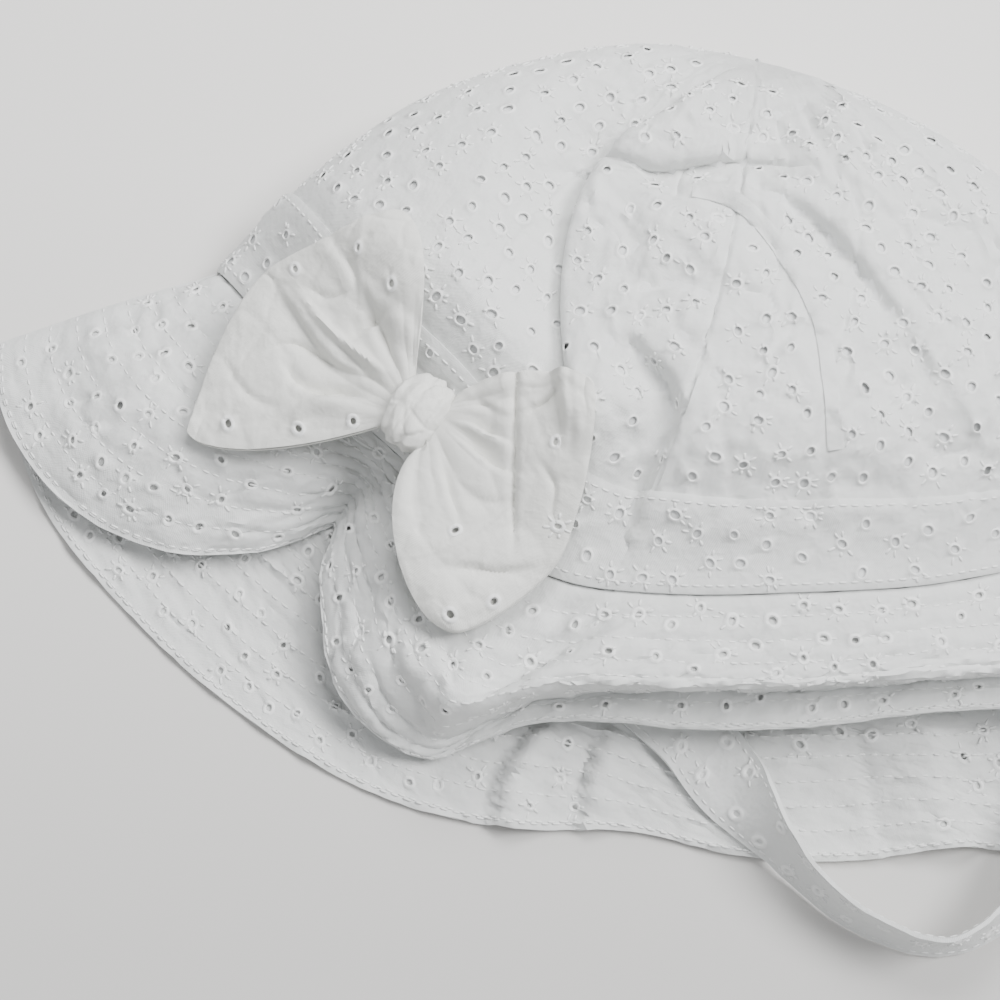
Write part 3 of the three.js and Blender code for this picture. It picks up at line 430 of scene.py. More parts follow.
# a place over the middle of the front, where the rings are set out
MIDDLE = 0.62
# the last ring stops just short of the button point
TOP_SHARE = 0.995

rises = np.linspace(0, 1, RISE_FINE)
ring_lengths = distances(crown_form(MIDDLE, rises, CROWN_CREASES))
ring_shares = np.interp(np.linspace(0, ring_lengths[-1], CROWN_RINGS), ring_lengths, rises)
ring_shares[-1] = TOP_SHARE

panels = []
for p, steps in enumerate(PANEL_STEPS):
    ats = np.linspace(p / 3 - 1 / 6, p / 3 + 1 / 6, PANEL_FINE)
    stations = even_stations(crown_form(ats, ring_shares[:, None], CROWN_CREASES), steps)
    panels.append(crown_point(np.interp(stations, np.arange(PANEL_FINE), ats), ring_shares[:, None]))
print("crown stations:", sum(PANEL_STEPS), "rings:", CROWN_RINGS)

# %% [markdown]
# ## Eyelet cloth
# Broderie anglaise is plain cotton with punched holes whose edges are oversewn. A texture would look flat up
# close, so each hole is real: a small block of the grid is taken out, and rings of faces lead from its
# edge up over a raised rim and down into the hole. The holes are scattered in a fixed random order.

# %% Eyelet cloth
# radius and height of each ring of an eyelet, from the cloth over the raised rim and into the hole
RIM = [(1.72, 0.02), (1.5, 0.26), (1.2, 0.26), (1.02, -0.1)]
# how far a block reaches at least, times the hole's size, and at most, and how many steps to a side
BLOCK_REACH, BLOCK_LIMIT, BLOCK_STEPS = 2.05, 6, 8
# the least cosine between the cloth's normals round a block and the one in its middle
BLOCK_BEND = 0.72
# the least distance from eyelet to eyelet in each kind of cloth, which varies by 14 per cent either way
SPACING = dict(crown=6.6, band=7.4, brim=7.4, facing=8.4, strap=9.5, bow=10.5)
# about a whole turn, for the random angles of eyelets and petals
WHOLE_TURN = 6.28
embroidery = []
cuts = {}


def block_loop(j, i, n, m):
    """The grid points round a block, anticlockwise."""
    low = [(j - n, i + k) for k in range(-m, m)]
    right = [(j + k, i + m) for k in range(-n, n)]
    return low + right + [(2 * j - a, 2 * i - b) for a, b in low + right]


def pick_eyelets(grid, normals, spacing, seed, allowed=None):
    """Grid points that can carry an eyelet, with its size and the loop round its block."""
    rings, count = grid.shape[:2]
    rng = np.random.default_rng(seed)
    used = np.zeros((rings - 1, count - 1), bool)
    taken, found = {}, []
    for k in rng.permutation(rings * count):
        j, i = divmod(int(k), count)
        if allowed is not None and not allowed[j, i]:
            continue
        centre = grid[j, i]
        cell = tuple((centre // spacing).astype(int))
        near = [q for dx in (-1, 0, 1) for dy in (-1, 0, 1) for dz in (-1, 0, 1)
                for q in taken.get((cell[0] + dx, cell[1] + dy, cell[2] + dz), [])]
        if near:
            gap = min(np.linalg.norm(np.array(near) - centre, axis=1))
            if gap < spacing * (0.86 + 0.28 * rng.random()):
                continue
        size = 0.85 + 0.3 * rng.random()
        half = []
        for dj, di in ((1, 0), (0, 1)):
            for m in range(1, BLOCK_STEPS + 1):
                high, low = (j + m * dj, i + m * di), (j - m * dj, i - m * di)
                if min(low) < 0 or high[0] >= rings or high[1] >= count:
                    break
                if min(np.linalg.norm(grid[end] - centre) for end in (high, low)) >= BLOCK_REACH * size:
                    half.append(m)
                    break
        if len(half) < 2:
            continue
        n, m = half
        if j - n < 1 or j + n > rings - 2 or i - m < 1 or i + m > count - 2:
            continue
        if used[j - n : j + n, i - m : i + m].any():
            continue
        loop = block_loop(j, i, n, m)
        away = np.array([np.linalg.norm(grid[q] - centre) for q in loop])
        if away.min() < RIM[0][0] * size * 1.04 or away.max() > BLOCK_LIMIT:
            continue
        if min(normals[q] @ normals[j, i] for q in loop) < BLOCK_BEND:
            continue
        used[j - n : j + n, i - m : i + m] = True
        taken.setdefault(cell, []).append(centre)
        found.append((j, i, size, loop))
    return found, used


def grid_faces(rings, count, base=0, used=None):
    """The squares of a grid, but for those that eyelets use."""
    return [(a, a + 1, a + count + 1, a + count) for j in range(rings - 1) for i in range(count - 1)
            if used is None or not used[j, i] for a in [base + j * count + i]]


def sheet_mesh(name, grid, normals, eyelets, used, raised):
    """A mesh of a grid, with eyelets in it. raised is the side on which their rims stand, 1 or -1."""
    rings, count = grid.shape[:2]
    cuts[name] = grid
    rng = np.random.default_rng(len(name) + rings)
    cloth = np.stack(np.meshgrid(distances(grid[rings // 2]), distances(grid[:, count // 2])), axis=-1)
    points, flat = [grid.reshape(-1, 3)], [cloth.reshape(-1, 2)]
    faces, rim_faces = grid_faces(rings, count, used=used), []
    total = rings * count
    for j, i, size, loop in eyelets:
        centre, normal = grid[j, i], normals[j, i] * raised
        outer = [a * count + b for a, b in loop]
        spokes = unit(np.array([grid[q] for q in loop]) - centre)
        turn = np.arctan2(spokes @ np.cross(normal, spokes[0]), spokes @ spokes[0])
        oval = 1 + (0.06 + 0.1 * rng.random()) * np.cos(2 * (turn - rng.random() * WHOLE_TURN))
        cloth_spokes = unit(np.array([cloth[q] for q in loop]) - cloth[j, i])
        for radius, height in RIM:
            points.append(centre + spokes * (radius * size * oval)[:, None] + normal * height)
            flat.append(cloth[j, i] + cloth_spokes * (radius * size))
            inner = list(range(total, total + len(loop)))
            total += len(loop)
            if radius < RIM[0][0]:
                rim_faces += range(len(faces), len(faces) + len(loop))
            faces += zip(outer, outer[1:] + outer[:1], inner[1:] + inner[:1], inner)
            outer = inner
        embroidery.append((name, centre, normal, size, rng.random(), rng.random() * WHOLE_TURN))
    mesh = bpy.data.meshes.new(name)
    mesh.from_pydata((np.vstack(points) * MM).tolist(), [], faces)
    material_of = np.zeros(len(faces), int)
    material_of[rim_faces] = 1
    mesh.polygons.foreach_set("material_index", material_of)
    corners = np.zeros(len(mesh.loops), int)
    mesh.loops.foreach_get("vertex_index", corners)
    flat = np.vstack(flat) * MM
    mesh.uv_layers.new(name="cloth").data.foreach_set("uv", flat[corners].ravel())
    mesh.update()
    return mesh


def add_piece(name, mesh):
    """Puts a mesh in the scene, selected and active."""
    piece = bpy.data.objects.new(name, mesh)
    bpy.context.scene.collection.objects.link(piece)
    bpy.ops.object.select_all(action="DESELECT")
    piece.select_set(True)
    bpy.context.view_layer.objects.active = piece
    return piece


def edit_all(operator, **settings):
    """Runs one tool of Edit Mode on the whole active piece."""
    bpy.ops.object.mode_set(mode="EDIT")
    bpy.ops.mesh.select_all(action="SELECT")
    operator(**settings)
    bpy.ops.object.mode_set(mode="OBJECT")


def make_sheet(name, thickness, offset, grid, normals, eyelets=(), used=None, raised=1):
    """A piece of cloth from a grid, with its eyelets and its thickness. Only eyelets need its normals."""
    piece = add_piece(name, sheet_mesh(name, grid, normals, eyelets, used, raised))
    edit_all(bpy.ops.mesh.remove_doubles, threshold=0.00002)
    wall = piece.modifiers.new("wall", "SOLIDIFY")
    wall.thickness = thickness * MM
    wall.offset = offset
    bpy.ops.object.modifier_apply(modifier=wall.name)
    bpy.ops.object.shade_smooth_by_angle(angle=math.radians(55))
    triangles = sum(len(p.vertices) - 2 for p in piece.data.polygons)
    print(f"{name}: {triangles} triangles, {len(eyelets)} eyelets")
    return piece


def skin_of(pieces):
    """Finished pieces as a tree for rays and nearest points, in millimetres."""
    points, faces = [], []
    for piece in pieces:
        base = len(points)
        points += [v.co / MM for v in piece.data.vertices]
        faces += [[base + v for v in face.vertices] for face in piece.data.polygons]
    return BVHTree.FromPolygons(points, faces)


def height_of(skin, x, y):
    """How high a skin is at x, y."""
    hit = skin.ray_cast(Vector((x, y, 200)), Vector((0, 0, -1)))
    return hit[0].z if hit[0] else 0.0


# %% [markdown]
# ## Crown panels
# Each panel sinks a little at its two edges, where it is sewn to the next, so the seams show as fine dark
# lines. Eyelets stay clear of the seams and of the foot, which the hat band covers.

# %% Crown panels
CROWN_CLOTH = 0.5
# how far under the eyelet cloth the lining lies
LINING_GAP = 0.25
# depth of the ditch at the seam before each panel, its width, and from where up it fades
SEAM_DITCHES = [0.4, 0.04, 1.2, 0.1, 0.4, 0.4]
DITCH_WIDTH, DITCH_FADES = 0.55, 0.72
# the eyelets' lowest and highest share, and how clear they stay of the loose edge
LOWEST, HIGHEST, EDGE_CLEAR = 0.125, 0.93, 3.6

crown_pieces, lining_parts = [], []
panel_edge = curve(PANEL_EDGE, np.linspace(0, 1, 161))
fading = (1 - 0.85 * smooth((ring_shares - DITCH_FADES) / 0.1))[:, None]
allowed = ((ring_shares > LOWEST) & (ring_shares < HIGHEST))[:, None]
for p, grid in enumerate(panels):
    name = f"crown_panel_{p + 1}"
    normals = grid_normals(grid)
    station = np.arange(grid.shape[1])
    edge = np.minimum(station, station[::-1])
    width = np.linalg.norm(np.diff(grid, axis=1), axis=2).mean(axis=1)
    deep = np.where(station * 2 < len(station), SEAM_DITCHES[p], SEAM_DITCHES[(p + 1) % 6])
    ditch = deep * np.exp(-((edge[None, :] * width[:, None] / DITCH_WIDTH) ** 2)) * fading
    grid = grid - normals * ditch[..., None]
    normals = grid_normals(grid)
    away = np.min([np.hypot(grid[..., 0] - x, grid[..., 1] - y) for x, y in panel_edge[::4, :2]], axis=0)
    picked = pick_eyelets(grid, normals, SPACING["crown"], 40 + p, allowed & (away > EDGE_CLEAR))
    crown_pieces.append(make_sheet(name, CROWN_CLOTH, -1, grid, normals, *picked))
    lining_parts.append((grid - normals * (CROWN_CLOTH + LINING_GAP))[:, :-1])

# %% [markdown]
# ## Crown lining
# A plain lining lies close under the eyelet cloth. It is what shows pale in each hole, and it is the inside
# of the hat. The loose edge of the third panel is a narrow folded lip that lies on its cloth.

# %% Crown lining
# distance out from the loose edge, and height above the panel, across its fold
PANEL_LIP = [(-0.1, 0.1), (0, 0.5), (0.5, 0.55), (1.5, 0.4), (2.8, 0.12), (3.6, -0.15)]


def lining(name, grid, thickness, offset=-1):
    """A plain sheet through every second or third point of a grid."""
    step = 3 if grid.size > 60000 else 2
    rows, columns = (np.r_[0 : n - 1 : step, n - 1] for n in grid.shape[:2])
    coarse = grid[rows][:, columns]
    return make_sheet(name, thickness, offset, coarse, coarse)


skin_points = [grid.reshape(-1, 3) for grid in panels[1:3]]
skin_faces = [grid_faces(CROWN_RINGS, grid.shape[1], base)
              for grid, base in zip(panels[1:3], (0, len(skin_points[0])))]
front_skin = BVHTree.FromPolygons(np.vstack(skin_points).tolist(), skin_faces[0] + skin_faces[1])
sideways = unit(np.gradient(panel_edge[:, :2], axis=0)[:, ::-1] * (-1, 1))
edge_rows = []
for out, lip in PANEL_LIP:
    plan = panel_edge[:, :2] + sideways * out
    height = np.array([height_of(front_skin, x, y) for x, y in plan])
    edge_rows.append(np.c_[plan, height + lip])
edge_grid = np.array(edge_rows)
panel_edge_piece = make_sheet("crown_panel_edge", 0.25, 0, edge_grid, edge_grid)

inside = np.concatenate(lining_parts + [lining_parts[0][:, :1]], axis=1)
crown_lining = lining("crown_lining", inside, 0.45)

# %% [markdown]
# ## Hat band
# A strip of the same cloth is sewn over the foot of the crown. It follows the crown's surface, a little
# outside it, and its two folded edges curl back against the crown.

# %% Hat band
BAND_STEPS = 390
BAND_RINGS = 21
# how fast its edges curl in, from ring to ring, and how high its middle swells
BAND_CURL, BAND_SWELL = 0.8, 0.45

fine_at = np.linspace(0, 2, ROUND_FINE)
foot = crown_form(fine_at, BAND_SHARE / 2, CROWN_CREASES)
band_at = np.interp(even_stations(foot[None], BAND_STEPS)[0], np.arange(ROUND_FINE), fine_at)
band_at[-1] = 2.0
band_grid = crown_point(band_at, np.linspace(0.0, BAND_SHARE, BAND_RINGS)[:, None])
band_normals = grid_normals(band_grid, closed=True)
ring = np.arange(BAND_RINGS)
curl = np.exp(-ring / BAND_CURL)
rise = BAND_STAND + BAND_CLOTH - curl - curl[::-1]
swell = ripples(band_grid, 9, 7, (1, 1, 0.5))
swell[:, -1] = swell[:, 0]
swell = BAND_SWELL * swell * np.sin(np.pi * ring / (BAND_RINGS - 1))[:, None]
band_grid = band_grid + band_normals * (rise[:, None] + swell)[..., None]
band_normals = grid_normals(band_grid, closed=True)
picked = pick_eyelets(band_grid, band_normals, SPACING["band"], 60)
band = make_sheet("hat_band_cloth", 0.5, -1, band_grid, band_normals, *picked)
band_lining = lining("hat_band_lining", (band_grid - band_normals * 0.52)[2:-1], 0.4)

# %% [markdown]
# ## Brim
# The brim is two layers of eyelet cloth, quilted by rows of stitches about six millimetres apart. A row for
# each turn of its wave gives the outer edge, and two heights on the way out: where the first is far out, the
# cloth rolls over and hides a gutter. The back half lies flat on the table.

# %% Brim table
# place, edge x, y, z, height mid, how far out it is, height low, how far out that is
BRIM_FRONT = [
    (0.0, -166, 31, 3.4, 6, 0.5, 4.8, 0.75), (0.006, -166.5, 26, 5.6, 9, 0.5, 7.4, 0.75),
    (0.03, -163, 10, 7, 13, 0.5, 10, 0.75), (0.07, -150, -8, 7, 18, 0.5, 14, 0.75),
    (0.11, -131, -20, 8, 21, 0.5, 16, 0.75), (0.155, -110, -24, 9, 21, 0.5, 16, 0.75),
    (0.2, -92, -21, 7, 17, 0.5, 12, 0.75), (0.245, -81, -15, 4, 11, 0.5, 7, 0.75),
    (0.285, -84, -27, 12, 18, 0.5, 16, 0.75), (0.325, -83, -43, 14, 23, 0.5, 20, 0.75),
    (0.365, -78, -60, 12, 27, 0.55, 22, 0.8), (0.4, -68, -70, 9, 29, 0.64, 15, 0.87),
    (0.43, -57, -74, 6, 31, 0.74, 8, 0.9), (0.46, -46, -70, 9, 32, 0.78, 9, 0.84),
    (0.5, -33, -66, 13, 34, 0.78, 12, 0.77), (0.55, -16, -66, 16, 35, 0.75, 14, 0.7),
    (0.61, 8, -68, 17, 35, 0.72, 15, 0.66), (0.68, 32, -68, 18, 35, 0.72, 15.5, 0.65),
    (0.76, 56, -65, 18, 34, 0.73, 15.5, 0.67), (0.83, 81, -63, 17, 31, 0.75, 15, 0.72),
    (0.89, 105, -64, 14, 25, 0.7, 14, 0.76), (0.93, 128, -62, 11, 19, 0.6, 14, 0.76),
    (0.97, 151, -52, 7, 13, 0.52, 10, 0.75), (0.994, 162.5, -42, 5.6, 9, 0.5, 7.4, 0.75),
    (1.0, 164, -37, 3.4, 6, 0.5, 4.8, 0.75),
]
# place, edge x, y, z
BRIM_BACK = [
    (1.01, 163, -43, 1.2), (1.05, 149, -68, 0.95), (1.14, 126, -88, 0.95), (1.24, 100, -96, 0.95),
    (1.35, 73, -95, 0.95), (1.45, 45, -98, 0.95), (1.53, 20, -97, 0.95), (1.6, -8, -91, 0.95),
    (1.68, -39, -90, 0.95), (1.76, -70, -82, 0.95), (1.83, -101, -64, 0.95), (1.89, -130, -39, 0.95),
    (1.95, -155, -8, 0.95), (1.99, -165.5, 24, 1.2),
]
brim_rows = np.array(BRIM_FRONT + [row + (1.8, 0.5, 1.3, 0.75) for row in BRIM_BACK], float)
KNOT_PLACES = [0, 0.53, 0.76, 1]
BRIM_STEPS = [236, 210]
BRIM_RINGS = 47
QUILT_PITCH = 6.2
BRIM_WIDTH = 57
# how deep the stitch rows sink and how wide, and the heights of the puckers and of the pressed lines
QUILT_DIP, QUILT_DIP_WIDTH, PUCKER, QUILT_FOLDS = -0.5, 0.9, 0.48, 0.75
QUILT_LINES = [(1, 15, 0.8, 13), (-1, 12, 0.7, 14)]

# creases pressed into the upper side of its front
BRIM_CREASES = [
    (8, 1.5, 0, [(-47, -65, 1), (-40, -61.5, 4), (-33, -57, 4.5), (-25, -52, 2.5), (-17, -48, 0.3)]),
    (2.4, 1.3, 0, [(-42, -63, 0.3), (-33, -57, 2), (-25, -52, 3.2), (-18, -48.5, 2.6), (-13, -46, 0.2)]),
    (1.8, 1.6, 0, [(-31, -50, 0.3), (-25, -44.5, 2.2), (-20, -41, 0.3)]),
    (1.7, 1.7, 0, [(-25, -50, 0.3), (-19, -45, 2), (-13, -43, 0.3)]),
    (3, 1.2, 0, [(-30, -45, 0.3), (-24, -41, 1.8), (-16, -39, 0.4)]),
    (1.2, 3, 0, [(-38, -50, 0.3), (-30, -50, 1.5), (-22, -46, 0.4)]),
    (1.2, 2.4, 0, [(-84, -2, 0.3), (-76, -14, 1.6), (-72, -26, 0.5)]),
    (1.2, 2.4, 0, [(-76, 2, 0.3), (-69, -9, 1.5), (-66, -22, 0.5)]),
]

# %% Brim surface
def brim_rows_at(at):
    """The brim's edge, heights and reaches at places round the opening."""
    at = np.asarray(at, float) % 2
    i = np.searchsorted(brim_rows[:, 0], at, side="right") - 1
    count = len(brim_rows)
    rows = [brim_rows[(i + k) % count] for k in (-1, 0, 1, 2)]
    end = np.where(i == count - 1, 2, rows[2][:, 0])
    share = (at - rows[1][:, 0]) / (end - rows[1][:, 0])
    edge = segment(*(row[:, 1:4] for row in rows), share)
    rest = lerp(rows[1][:, 4:], rows[2][:, 4:], smooth(share)[:, None])
    return edge, rest


def brim_form(at, share, start):
    """Points of the brim at one share of the way out, from where it starts."""
    edge, rest = brim_rows_at(at)
    mid, mid_out, low, low_out = rest.T
    reach = through_knots(KNOT_PLACES, [0 * mid, mid_out, low_out, 1 + 0 * mid], share)
    point = lerp(start, edge, reach[:, None])
    point[:, 2] = through_knots(KNOT_PLACES, [start[:, 2], mid, low, edge[:, 2]], share)
    back = (at > 1)[:, None]
    upper = ((at <= 1) * smooth((0.56 - share) / 0.08) * smooth(share / 0.06))[:, None]
    point = point + np.where(back, crease_shift(BRIM_PLEATS, point[:, :2]), 0)
    return point + upper * crease_shift(BRIM_CREASES, point[:, :2])


def brim_starts(at):
    """Where the brim leaves the crown, tucked in just under the band."""
    foot, above = crown_point(at, 0 * at), crown_point(at, 0 * at + 0.037)
    normal = grid_normals(np.stack([foot, above]), closed=True)[0]
    return foot - normal * CLOTH / 2 + unit(foot - above) * 0.5


def quilting(grid, at):
    """The dips along the stitch rows, the puffs between them and the ripples that the stitches pull in."""
    out = np.linspace(0, 1, len(grid))[:, None] * BRIM_WIDTH
    row = np.abs((out / QUILT_PITCH + 0.5) % 1 - 0.5) * QUILT_PITCH
    dip = QUILT_DIP * np.exp(-((row / QUILT_DIP_WIDTH) ** 2))
    along = distances(grid[len(grid) // 2])
    places = np.stack(np.broadcast_arrays(along[None, :], out * 2.2, out * 0), axis=-1)
    wave = np.where(at <= 1, 1.0, 0.25)[None, :] * ripples(grid, 26, 12)
    lines = QUILT_FOLDS * pressed(places, QUILT_LINES, (1, 1, 0))
    lift = dip + PUCKER * ripples(places, 4.2, 11) + (lines + wave) * smooth(out / 14)
    return lift * smooth(np.minimum(at % 1, 1 - at % 1) / 0.012)[None, :]


# %% Brim pieces
# how far the two layers lie from the middle of the brim, at its edge and how much more further in
APART, APART_MORE = 0.25, 0.17
# the lowest middle of the back half, and how far apart the eyelets of the two layers stay
LOWEST_BRIM, FACING_CLEAR = 0.72, 3.1

brim_middle = brim_form(fine_at, 0.55, brim_starts(fine_at))
apart = (APART + APART_MORE * smooth(np.arange(BRIM_RINGS) / 4))[:, None, None]
shares = np.linspace(0, 1, BRIM_RINGS)
halves, brim_cloths, brim_facings = [], [], []
for half, name in enumerate(("brim_front", "brim_back")):
    first = half * (ROUND_FINE // 2)
    fine = brim_middle[None, first : first + ROUND_FINE // 2 + 1]
    at = np.interp(even_stations(fine, BRIM_STEPS[half])[0] + first, np.arange(ROUND_FINE), fine_at)
    start = brim_starts(at)
    if half:
        at = np.clip(at, 1.0000001, 1.9999999)
    grid = np.array([brim_form(at, share, start) for share in shares])[::-1]
    grid = grid + grid_normals(grid) * quilting(grid[::-1], at)[::-1][..., None]
    if half:
        grid[..., 2] = np.maximum(grid[..., 2], LOWEST_BRIM)
    normals = grid_normals(grid)
    halves.append((grid, normals))
    raised = -1 if half else 1
    allowed = np.broadcast_to(((shares > 0.05) & (shares < 0.93))[::-1, None], grid.shape[:2])
    picked = pick_eyelets(grid, normals, SPACING["brim"], 70 + half, allowed)
    cloth = grid + normals * raised * apart
    brim_cloths.append(make_sheet(f"{name}_cloth", 0.5, 0, cloth, normals, *picked, raised))
    facing, normals = (grid - normals * raised * apart)[::2, ::2], normals[::2, ::2]
    away = np.min([np.linalg.norm(facing - grid[j, i], axis=2) for j, i, *_ in picked[0]], axis=0)
    allowed = allowed[::2, ::2] & (away > FACING_CLEAR)
    picked = pick_eyelets(facing, normals, SPACING["facing"], 75 + half, allowed)
    brim_facings.append(make_sheet(f"{name}_facing", 0.5, 0, facing, normals, *picked, -raised))
brim_front, brim_back = brim_cloths

# %% [markdown]
# ## Chin strap
# The strap is a strip of the same eyelet cotton. It comes out under the front brim, lies over the back brim,
# turns on its edge on the table and goes back in at the right. A row gives its middle line and how far it is
# rolled over: 0 lies flat and 90 stands on its edge.

# %% Chin strap
# x, y, z, roll
STRAP_ROUTE = [
    (-62, -9, 5.2, 0), (-42, -26, 4.8, 0), (-18, -46, 5, 0), (6.5, -67, 4.8, 0), (14.3, -77.5, 5.4, 12),
    (22, -87.4, 9, 40), (27.3, -94.2, 10.8, 57), (35, -102.8, 10.4, 67), (47, -112.5, 10.2, 71),
    (66, -118.7, 10.2, 75), (80, -112.7, 9.8, 66), (90, -101, 9, 50), (97, -88, 7.6, 27), (101, -72, 4.6, 5),
    (100, -52, 4.4, 0), (88, -20, 5.2, 0),
]
STRAP_STEPS = 230
STRAP_LINES = 15
# degrees that its middle leans over more where it is rolled, and that it curls from edge to edge
STRAP_LEAN, STRAP_CURL = 8, 26

places = np.linspace(0, 1, STRAP_STEPS + 1)
route = curve([row[:3] for row in STRAP_ROUTE], places)
along = np.gradient(route, axis=0)
along[:, 2] = 0
along = unit(along)
last = len(STRAP_ROUTE) - 1
turns = [row[3] for row in STRAP_ROUTE]
rolls = np.radians([float(through_knots(range(last + 1), turns, t * last)) for t in places])
sideways = np.c_[-along[:, 1], along[:, 0], 0 * rolls]
across = np.linspace(-0.5, 0.5, STRAP_LINES)
middles = (across[1:] + across[:-1]) / 2
bent = rolls[None] + (STRAP_LEAN + STRAP_CURL * middles[:, None]) * smooth(rolls / 0.9)[None] * math.pi / 180
lean = np.cos(bent)[..., None] * sideways + np.sin(bent)[..., None] * np.array([0, 0, 1])
edge_path = np.concatenate([0 * lean[:1], np.cumsum(lean, axis=0)]) * STRAP_WIDTH / (STRAP_LINES - 1)
strap_grid = route + edge_path - edge_path[STRAP_LINES // 2]
strap_grid[..., 2] += (route[:, 2] - STRAP_WIDTH / 2 * np.sin(rolls) - strap_grid[0, :, 2])[None]
seam_dip = 0.25 * np.exp(-(((np.abs(across) - 0.42) / 0.04) ** 2))[:, None]
lift = 0.55 * ripples(strap_grid, 9, 21) + 0.16 * ripples(strap_grid, 3.5, 22, (1, 1, 0.4)) - seam_dip
strap_grid = strap_grid + grid_normals(strap_grid) * lift[..., None]
strap_normals = grid_normals(strap_grid)
picked = pick_eyelets(strap_grid, strap_normals, SPACING["strap"], 80)
strap = make_sheet("chin_strap_cloth", 1.0, 0, strap_grid, strap_normals, *picked)
strap_core = lining("chin_strap_core", strap_grid[1:-1], 0.2, 0)
print(f"chin strap: {distances(route)[-1]:.0f} mm long")

# %% [markdown]
# ## Bow
# Each loop is a ribbon that runs out under, turns over at its far end and comes back on top. The knot
# gathers it, and the gathers run out from there. The loops lie on the hat, so rays cast down on the finished
# cloth give the height that each point has to keep above it.

# %% Bow table
KNOT = dict(x=-59.5, y=4.5, z=39.5, length=14, width=18, height=11.5, turn=-0.59, tilt=0.26)
# side; how far the lower and the upper cut side swell in x and y, and where; puff; then the far end from its
# lower corner to its upper
BOW_LOOPS = {
    "bow_left_cloth": (
        -1, (1, -5, 0.9), (6, 1, 1), 1.3,
        [(-116, 4, 23.6), (-111, 19, 24.3), (-105, 32, 26), (-97, 42, 30), (-82, 48, 38), (-72, 51.5, 44),
         (-66, 52.5, 47)],
    ),
    "bow_right_cloth": (
        1, (-9.5, -1, 0.6), (-1, 4, 0.6), 1.2,
        [(-52.5, -46, 33), (-50, -47, 34), (-44, -45, 34.5), (-36, -40, 35.5), (-26.5, -31, 38),
         (-22, -20, 43), (-19.5, -10, 48), (-18, 2, 51), (-18.6, 8, 51), (-22, 10, 50)],
    ),
}
BOW_CREASES = {
    "bow_left_cloth": [
        (0.8, 4.5, 0, [(-96, 41, 0.6), (-86.5, 26, 2.1), (-80, 18, 2.4), (-69, 13, 1.2)]),
        (1.0, 0.7, 0, [(-93, 42, 0.2), (-82, 27, -1.3), (-74, 19.5, -1.9), (-67, 14.5, -1)]),
        (2.6, 0.6, 0, [(-76, 23, 0.3), (-70, 27, 1.9), (-65, 29.5, 0.5)]),
        (2.6, 0.7, 0, [(-93, 20, 0.3), (-88, 13, 2.1), (-78, 10, 2.3), (-70, 9, 1.2)]),
        (0.7, 2.2, 0, [(-95, 4, 0.2), (-84, 8.7, -1.4), (-72, 9, -1)]),
        (0.7, 2, 0, [(-76, 41, 0.2), (-68.5, 26, 1.6), (-65, 16, 1)]),
        (0.7, 1, 0, [(-99, 22, 0.2), (-90, 24, 1.1), (-81, 19, 0.8)]),
        (0.6, 1, 0, [(-86, 37, 0.2), (-81, 34, 1), (-76, 35, 0.3)]),
        (0.8, 1.1, 0, [(-107, 20, 0.2), (-101, 12, 0.9), (-94, 8, 0.3)]),
        (0.7, 1.2, 0, [(-80, 46, 0.2), (-75, 39, 0.9), (-74, 31, 0.3)]),
    ],
    "bow_right_cloth": [
        (0.5, 1.3, 0, [(-36, 19, 0.6), (-36, 4, 1.9), (-36.2, -8, 2.1), (-36.5, -18, 1.7),
                       (-36.5, -29, 0.3)]),
        (0.7, 1.6, 0, [(-34.6, 3, 0.3), (-29.5, 5, 1.5), (-24, 10.5, 0.4)]),
        (3, 0.6, 0, [(-53, 3, 0.5), (-47, 1.6, 1.9), (-42, -1.3, 2), (-37, -3.5, 0.7)]),
        (3, 0.6, 0, [(-53.5, 1, 0.5), (-48, -3, 2), (-41, -9, 2), (-37, -10.5, 0.6)]),
        (1.6, 0.6, 0, [(-54.5, -3, 0.5), (-53.5, -9, 1.4), (-52, -15, 1.2), (-49, -23, 0.2)]),
        (0.6, 2.6, 0, [(-54, -32, 0.2), (-47, -32.2, 1.4), (-40, -33.4, 1.4), (-30, -32, 0.3)]),
        (0.7, 1.1, 0, [(-48, -14, 0.2), (-43, -17, 0.9), (-38, -17, 0.3)]),
        (0.6, 1.1, 0, [(-31, -8, 0.2), (-27, -14, 1), (-28, -22, 0.3)]),
        (0.7, 2, 0, [(-47, 12, 0.2), (-44, 6, 1), (-38, 2, 0.3)]),
    ],
}
# width of a loop at the knot, distance between its layers, above the hat and beyond its own edge, depth of
# its gathers and of its creases, and its stations
LOOP_MOUTH = 13
LOOP_LAYERS = 3.2
LOOP_CLEARANCE = 1.6
LOOP_MARGIN = 2.5
LOOP_GATHER = 1.3
LOOP_CREASED = 1.35
LOOP_ACROSS = 100
LOOP_ALONG = 62
LOOP_LINES = [(0.35, 16, 0.7, 36), (-0.5, 13, 0.6, 34)]

# %% Bow frame
turn, tilt = KNOT["turn"], KNOT["tilt"]
bow_axis = Vector((math.cos(turn), math.sin(turn), 0))
bow_across = Vector((-bow_axis.y, bow_axis.x, 0))
bow_axis = Vector((bow_axis.x * math.cos(tilt), bow_axis.y * math.cos(tilt), math.sin(tilt)))
bow_up = bow_axis.cross(bow_across)
bow_axis, bow_across, bow_up = (np.array(v) for v in (bow_axis, bow_across, bow_up))
knot_centre = np.array([KNOT["x"], KNOT["y"], KNOT["z"]], float)
hat_skin = skin_of(crown_pieces + [band, brim_front])

